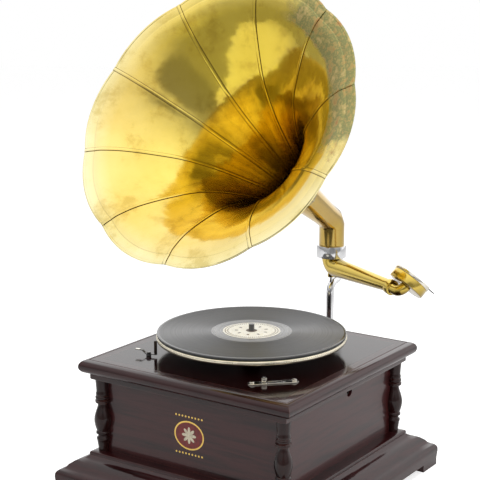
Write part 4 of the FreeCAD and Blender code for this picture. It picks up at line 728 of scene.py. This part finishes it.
# Painted light and shade: the brass is darkened towards the throat and paled towards the lip, and the lower side is
# painted lighter than the upper side.
upper_painted_light = ramp(horn_tree, axis_share,
                  ((0.10, (0.16, 0.15, 0.10)), (0.20, (0.58, 0.54, 0.36)), (0.30, (0.94, 0.90, 0.55)),
                   (0.48, (1, 0.96, 0.45)), (0.80, (1, 0.97, 0.55)), (0.97, (1.04, 1.08, 1.8))))
lower_painted_light = ramp(horn_tree, axis_share,
                  ((0.10, (0.34, 0.33, 0.24)), (0.20, (0.90, 0.88, 0.72)), (0.34, (1.08, 1.08, 1.0)),
                   (0.60, (1, 0.98, 1.05)), (0.80, (1.0, 0.98, 1.4)), (0.89, (1.03, 1.10, 2.4)),
                   (0.96, (1.08, 1.25, 3.5))))
lower = ramp(horn_tree, turn_share, ((0.44, (1, 1, 1)), (0.52, (0, 0, 0)), (0.86, (0, 0, 0)), (0.95, (1, 1, 1))))
painted_light_brass = laid_over(horn_tree, "MULTIPLY", 1, clean_brass, laid_over(horn_tree, "MIX", lower, upper_painted_light, lower_painted_light))
petal_count = reckon(horn_tree, "MULTIPLY_ADD", petal_angle, petals / math.tau, -first_seam / petal_turn)
from_seam = reckon(horn_tree, "MULTIPLY", reckon(horn_tree, "PINGPONG", petal_count, 0.5), from_axis)
# Painted shade: a dark band runs along both sides of each raised seam strip.
seam_shade_reach = 0.006
seam_painted_shade = ramp(horn_tree, reckon(horn_tree, "MULTIPLY", from_seam, petal_turn / seam_shade_reach),
             ((0.31, (1, 1, 1)), (0.34, (0.26, 0.22, 0.16)), (0.41, (0.30, 0.26, 0.20)), (0.52, (1, 1, 1))))
horn_even = stretched(horn_tree)
smears = noise(horn_tree, horn_even, 17.0, 7.0, 0.66)
smeared = ramp(horn_tree, smears, ((0.38, (0.80, 0.75, 0.58)), (0.47, (0.97, 0.96, 0.90)), (0.56, (1, 1, 1))))
smeared_and_seam_shaded = laid_over(horn_tree, "MULTIPLY", 1, laid_over(horn_tree, "MULTIPLY", 1, painted_light_brass, smeared), seam_painted_shade)
spots = noise(horn_tree, horn_even, 70.0, 8.0, 0.70)
ragged = reckon(horn_tree, "MULTIPLY_ADD", smears, 0.12, turn_share)
ragged = reckon(horn_tree, "MULTIPLY_ADD", spots, 0.06, ragged)
beside = ramp(horn_tree, ragged, ((0.565, (0, 0, 0)), (0.585, (1, 1, 1)), (0.76, (1, 1, 1)), (0.80, (0, 0, 0))))
outward = ramp(horn_tree, reckon(horn_tree, "MULTIPLY_ADD", smears, 0.12, axis_share),
               ((0.815, (0, 0, 0)), (0.835, (0.92, 0.92, 0.92))))
weathered = reckon(horn_tree, "MULTIPLY", beside, outward)
verdigris = ramp(horn_tree, spots,
                 ((0.34, (0.60, 0.46, 0.20)), (0.43, (0.42, 0.34, 0.12)), (0.49, (0.19, 0.23, 0.09)),
                  (0.55, (0.45, 0.34, 0.12)), (0.66, (0.42, 0.20, 0.07))))
horn_tree.links.new(laid_over(horn_tree, "MIX", weathered, smeared_and_seam_shaded, verdigris), horn_shader.inputs["Base Color"])
hammered = noise(horn_tree, horn_even, 26.0, 2.0, 0.5)
hollows = horn_tree.nodes["Bump"].inputs["Height"]
horn_tree.links.new(reckon(horn_tree, "MULTIPLY_ADD", hammered, 1.5, hollows.links[0].from_socket), hollows)
gloss = horn_shader.inputs["Roughness"].links[0].from_socket
horn_tree.links.new(reckon(horn_tree, "MULTIPLY_ADD", weathered, 0.3, gloss), horn_shader.inputs["Roughness"])
piece("horn_bell", bell, horn_brass, "horn", ("horn_petals",), 60)

# Horn seams and rim: the folded and soldered seam between each pair of petals is a raised strip from
# the neck to the rim, and the rim's edge is rolled over a wire.
seam = bmesh.new()
seam_width, seam_thick, seam_inside = 4, 2.4, 0.9
seam_run = []
for before, here, after in zip(bell_line[:1] + bell_line, bell_line, bell_line[1:] + bell_line[-1:]):
    run = Vector(after) - Vector(before)
    set_off = Vector((run.y, -run.x)).normalized() * seam_inside
    spot = Vector((-seam_width / 2, here[1] + set_off.y, here[0] + set_off.x))
    seam_run.append(seam.verts.new(spot * mm))
seam_edges = [seam.edges.new(pair) for pair in zip(seam_run, seam_run[1:])]
ribbon = bmesh.ops.extrude_edge_only(seam, edges=seam_edges)["geom"]
far_side = [part for part in ribbon if isinstance(part, bmesh.types.BMVert)]
bmesh.ops.translate(seam, verts=far_side, vec=(seam_width * mm, 0, 0))
bmesh.ops.recalc_face_normals(seam, faces=seam.faces)
if sum(face.normal.y for face in seam.faces) > 0:
    bmesh.ops.reverse_faces(seam, faces=seam.faces)
bmesh.ops.solidify(seam, geom=seam.faces[:], thickness=seam_thick * mm)
seam.normal_update()
ridges = [edge for edge in seam.edges if edge.is_manifold and edge.calc_face_angle() > math.radians(60)]
bmesh.ops.bevel(seam, geom=ridges, offset=0.4 * mm, offset_type="OFFSET", segments=2, profile=0.5, affect="EDGES",
                clamp_overlap=True, material=-1)
bmesh.ops.spin(seam, geom=seam.verts[:] + seam.edges[:] + seam.faces[:], cent=(0, 0, 0), axis=(0, 0, 1),
               angle=(petals - 1) * petal_turn, steps=petals - 1, use_duplicate=True)
bmesh.ops.transform(seam, matrix=horn_place, verts=seam.verts)
piece("seam_strips", seam, horn_brass, "horn", ("horn_seams",))
roll_thick, roll_radius, roll_ahead = 1.8, 189.6, 334.0
wire_curve = bpy.data.curves.new("rim_wire", "CURVE")
wire_curve.dimensions = "3D"
wire_curve.bevel_depth = roll_thick * mm
wire_curve.bevel_resolution = 2
wire_line = wire_curve.splines.new("POLY")
wire_line.points.add(bell_steps - 1)
wire_line.use_cyclic_u = True
for count, point in enumerate(wire_line.points):
    angle = first_seam + math.tau * count / bell_steps
    radius = swollen(roll_radius, angle)
    spot = Vector((radius * math.cos(angle), radius * math.sin(angle), roll_ahead))
    point.co = (*(horn_place @ (spot * mm)), 1)
wire = bpy.data.objects.new("rim_wire", wire_curve)
scene.collection.objects.link(wire)
rim_roll = bmesh.new()
rim_roll.from_mesh(bpy.data.meshes.new_from_object(wire))
bpy.data.objects.remove(wire)
piece("rim_roll", rim_roll, horn_brass, "horn", ())

# Panel ornament: a transfer on the front board, an oval of red enamel in a gilt border with a cream
# rosette, and a gilt bar of beads above and below.
gilt = plated("gilt", (0.78, 0.52, 0.14), 0.25, 0.42, 90)
enamel = painted("red_enamel", (0.17, 0.013, 0.011), (0.09, 0.010, 0.009), 0.35)
cream_paint = painted("cream_paint", (0.62, 0.56, 0.42), (0.46, 0.40, 0.28), 0.45)
board_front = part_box("case_front")[0].y
panel_aside, panel_height = -2, 101
panel = Matrix.Translation(Vector((panel_aside * mm, board_front, panel_height * mm)))
panel @= Matrix.Rotation(math.radians(90), 4, "X")


def plaque(bm, wide, high, thick, place, segments=48):
    """An oval wafer standing on the board."""
    made = bmesh.ops.create_cone(bm, cap_ends=True, segments=segments, radius1=0.5, radius2=0.5, depth=1)["verts"]
    shape = Matrix.Diagonal((wide * mm, high * mm, thick * mm, 1))
    bmesh.ops.transform(bm, matrix=panel @ place @ shape, verts=made)


ground = bmesh.new()
plaque(ground, 42, 34, 0.10, Matrix())
piece("ornament_ground", ground, enamel, "cabinet", ())
border = bmesh.new()
plaque(border, 46, 38, 0.06, Matrix())
bead_width, bead_pitch, bead_row = 2.6, 5, 24.5
for row in (-bead_row, bead_row):
    for count in range(-4, 5):
        bead_spot = Matrix.Translation(Vector((count * bead_pitch * mm, row * mm, 0)))
        plaque(border, bead_width, bead_width, 0.06, bead_spot, 16)
piece("ornament_border", border, gilt, "cabinet", ())
rosette = bmesh.new()
leaves = 8
for count in range(leaves):
    turn = Matrix.Rotation(math.tau * count / leaves, 4, "Z")
    plaque(rosette, 9, 4, 0.14, turn @ Matrix.Translation(Vector((6.5 * mm, 0, 0))), 20)
plaque(rosette, 5, 5, 0.16, Matrix(), 24)
piece("ornament_rosette", rosette, cream_paint, "cabinet", ())
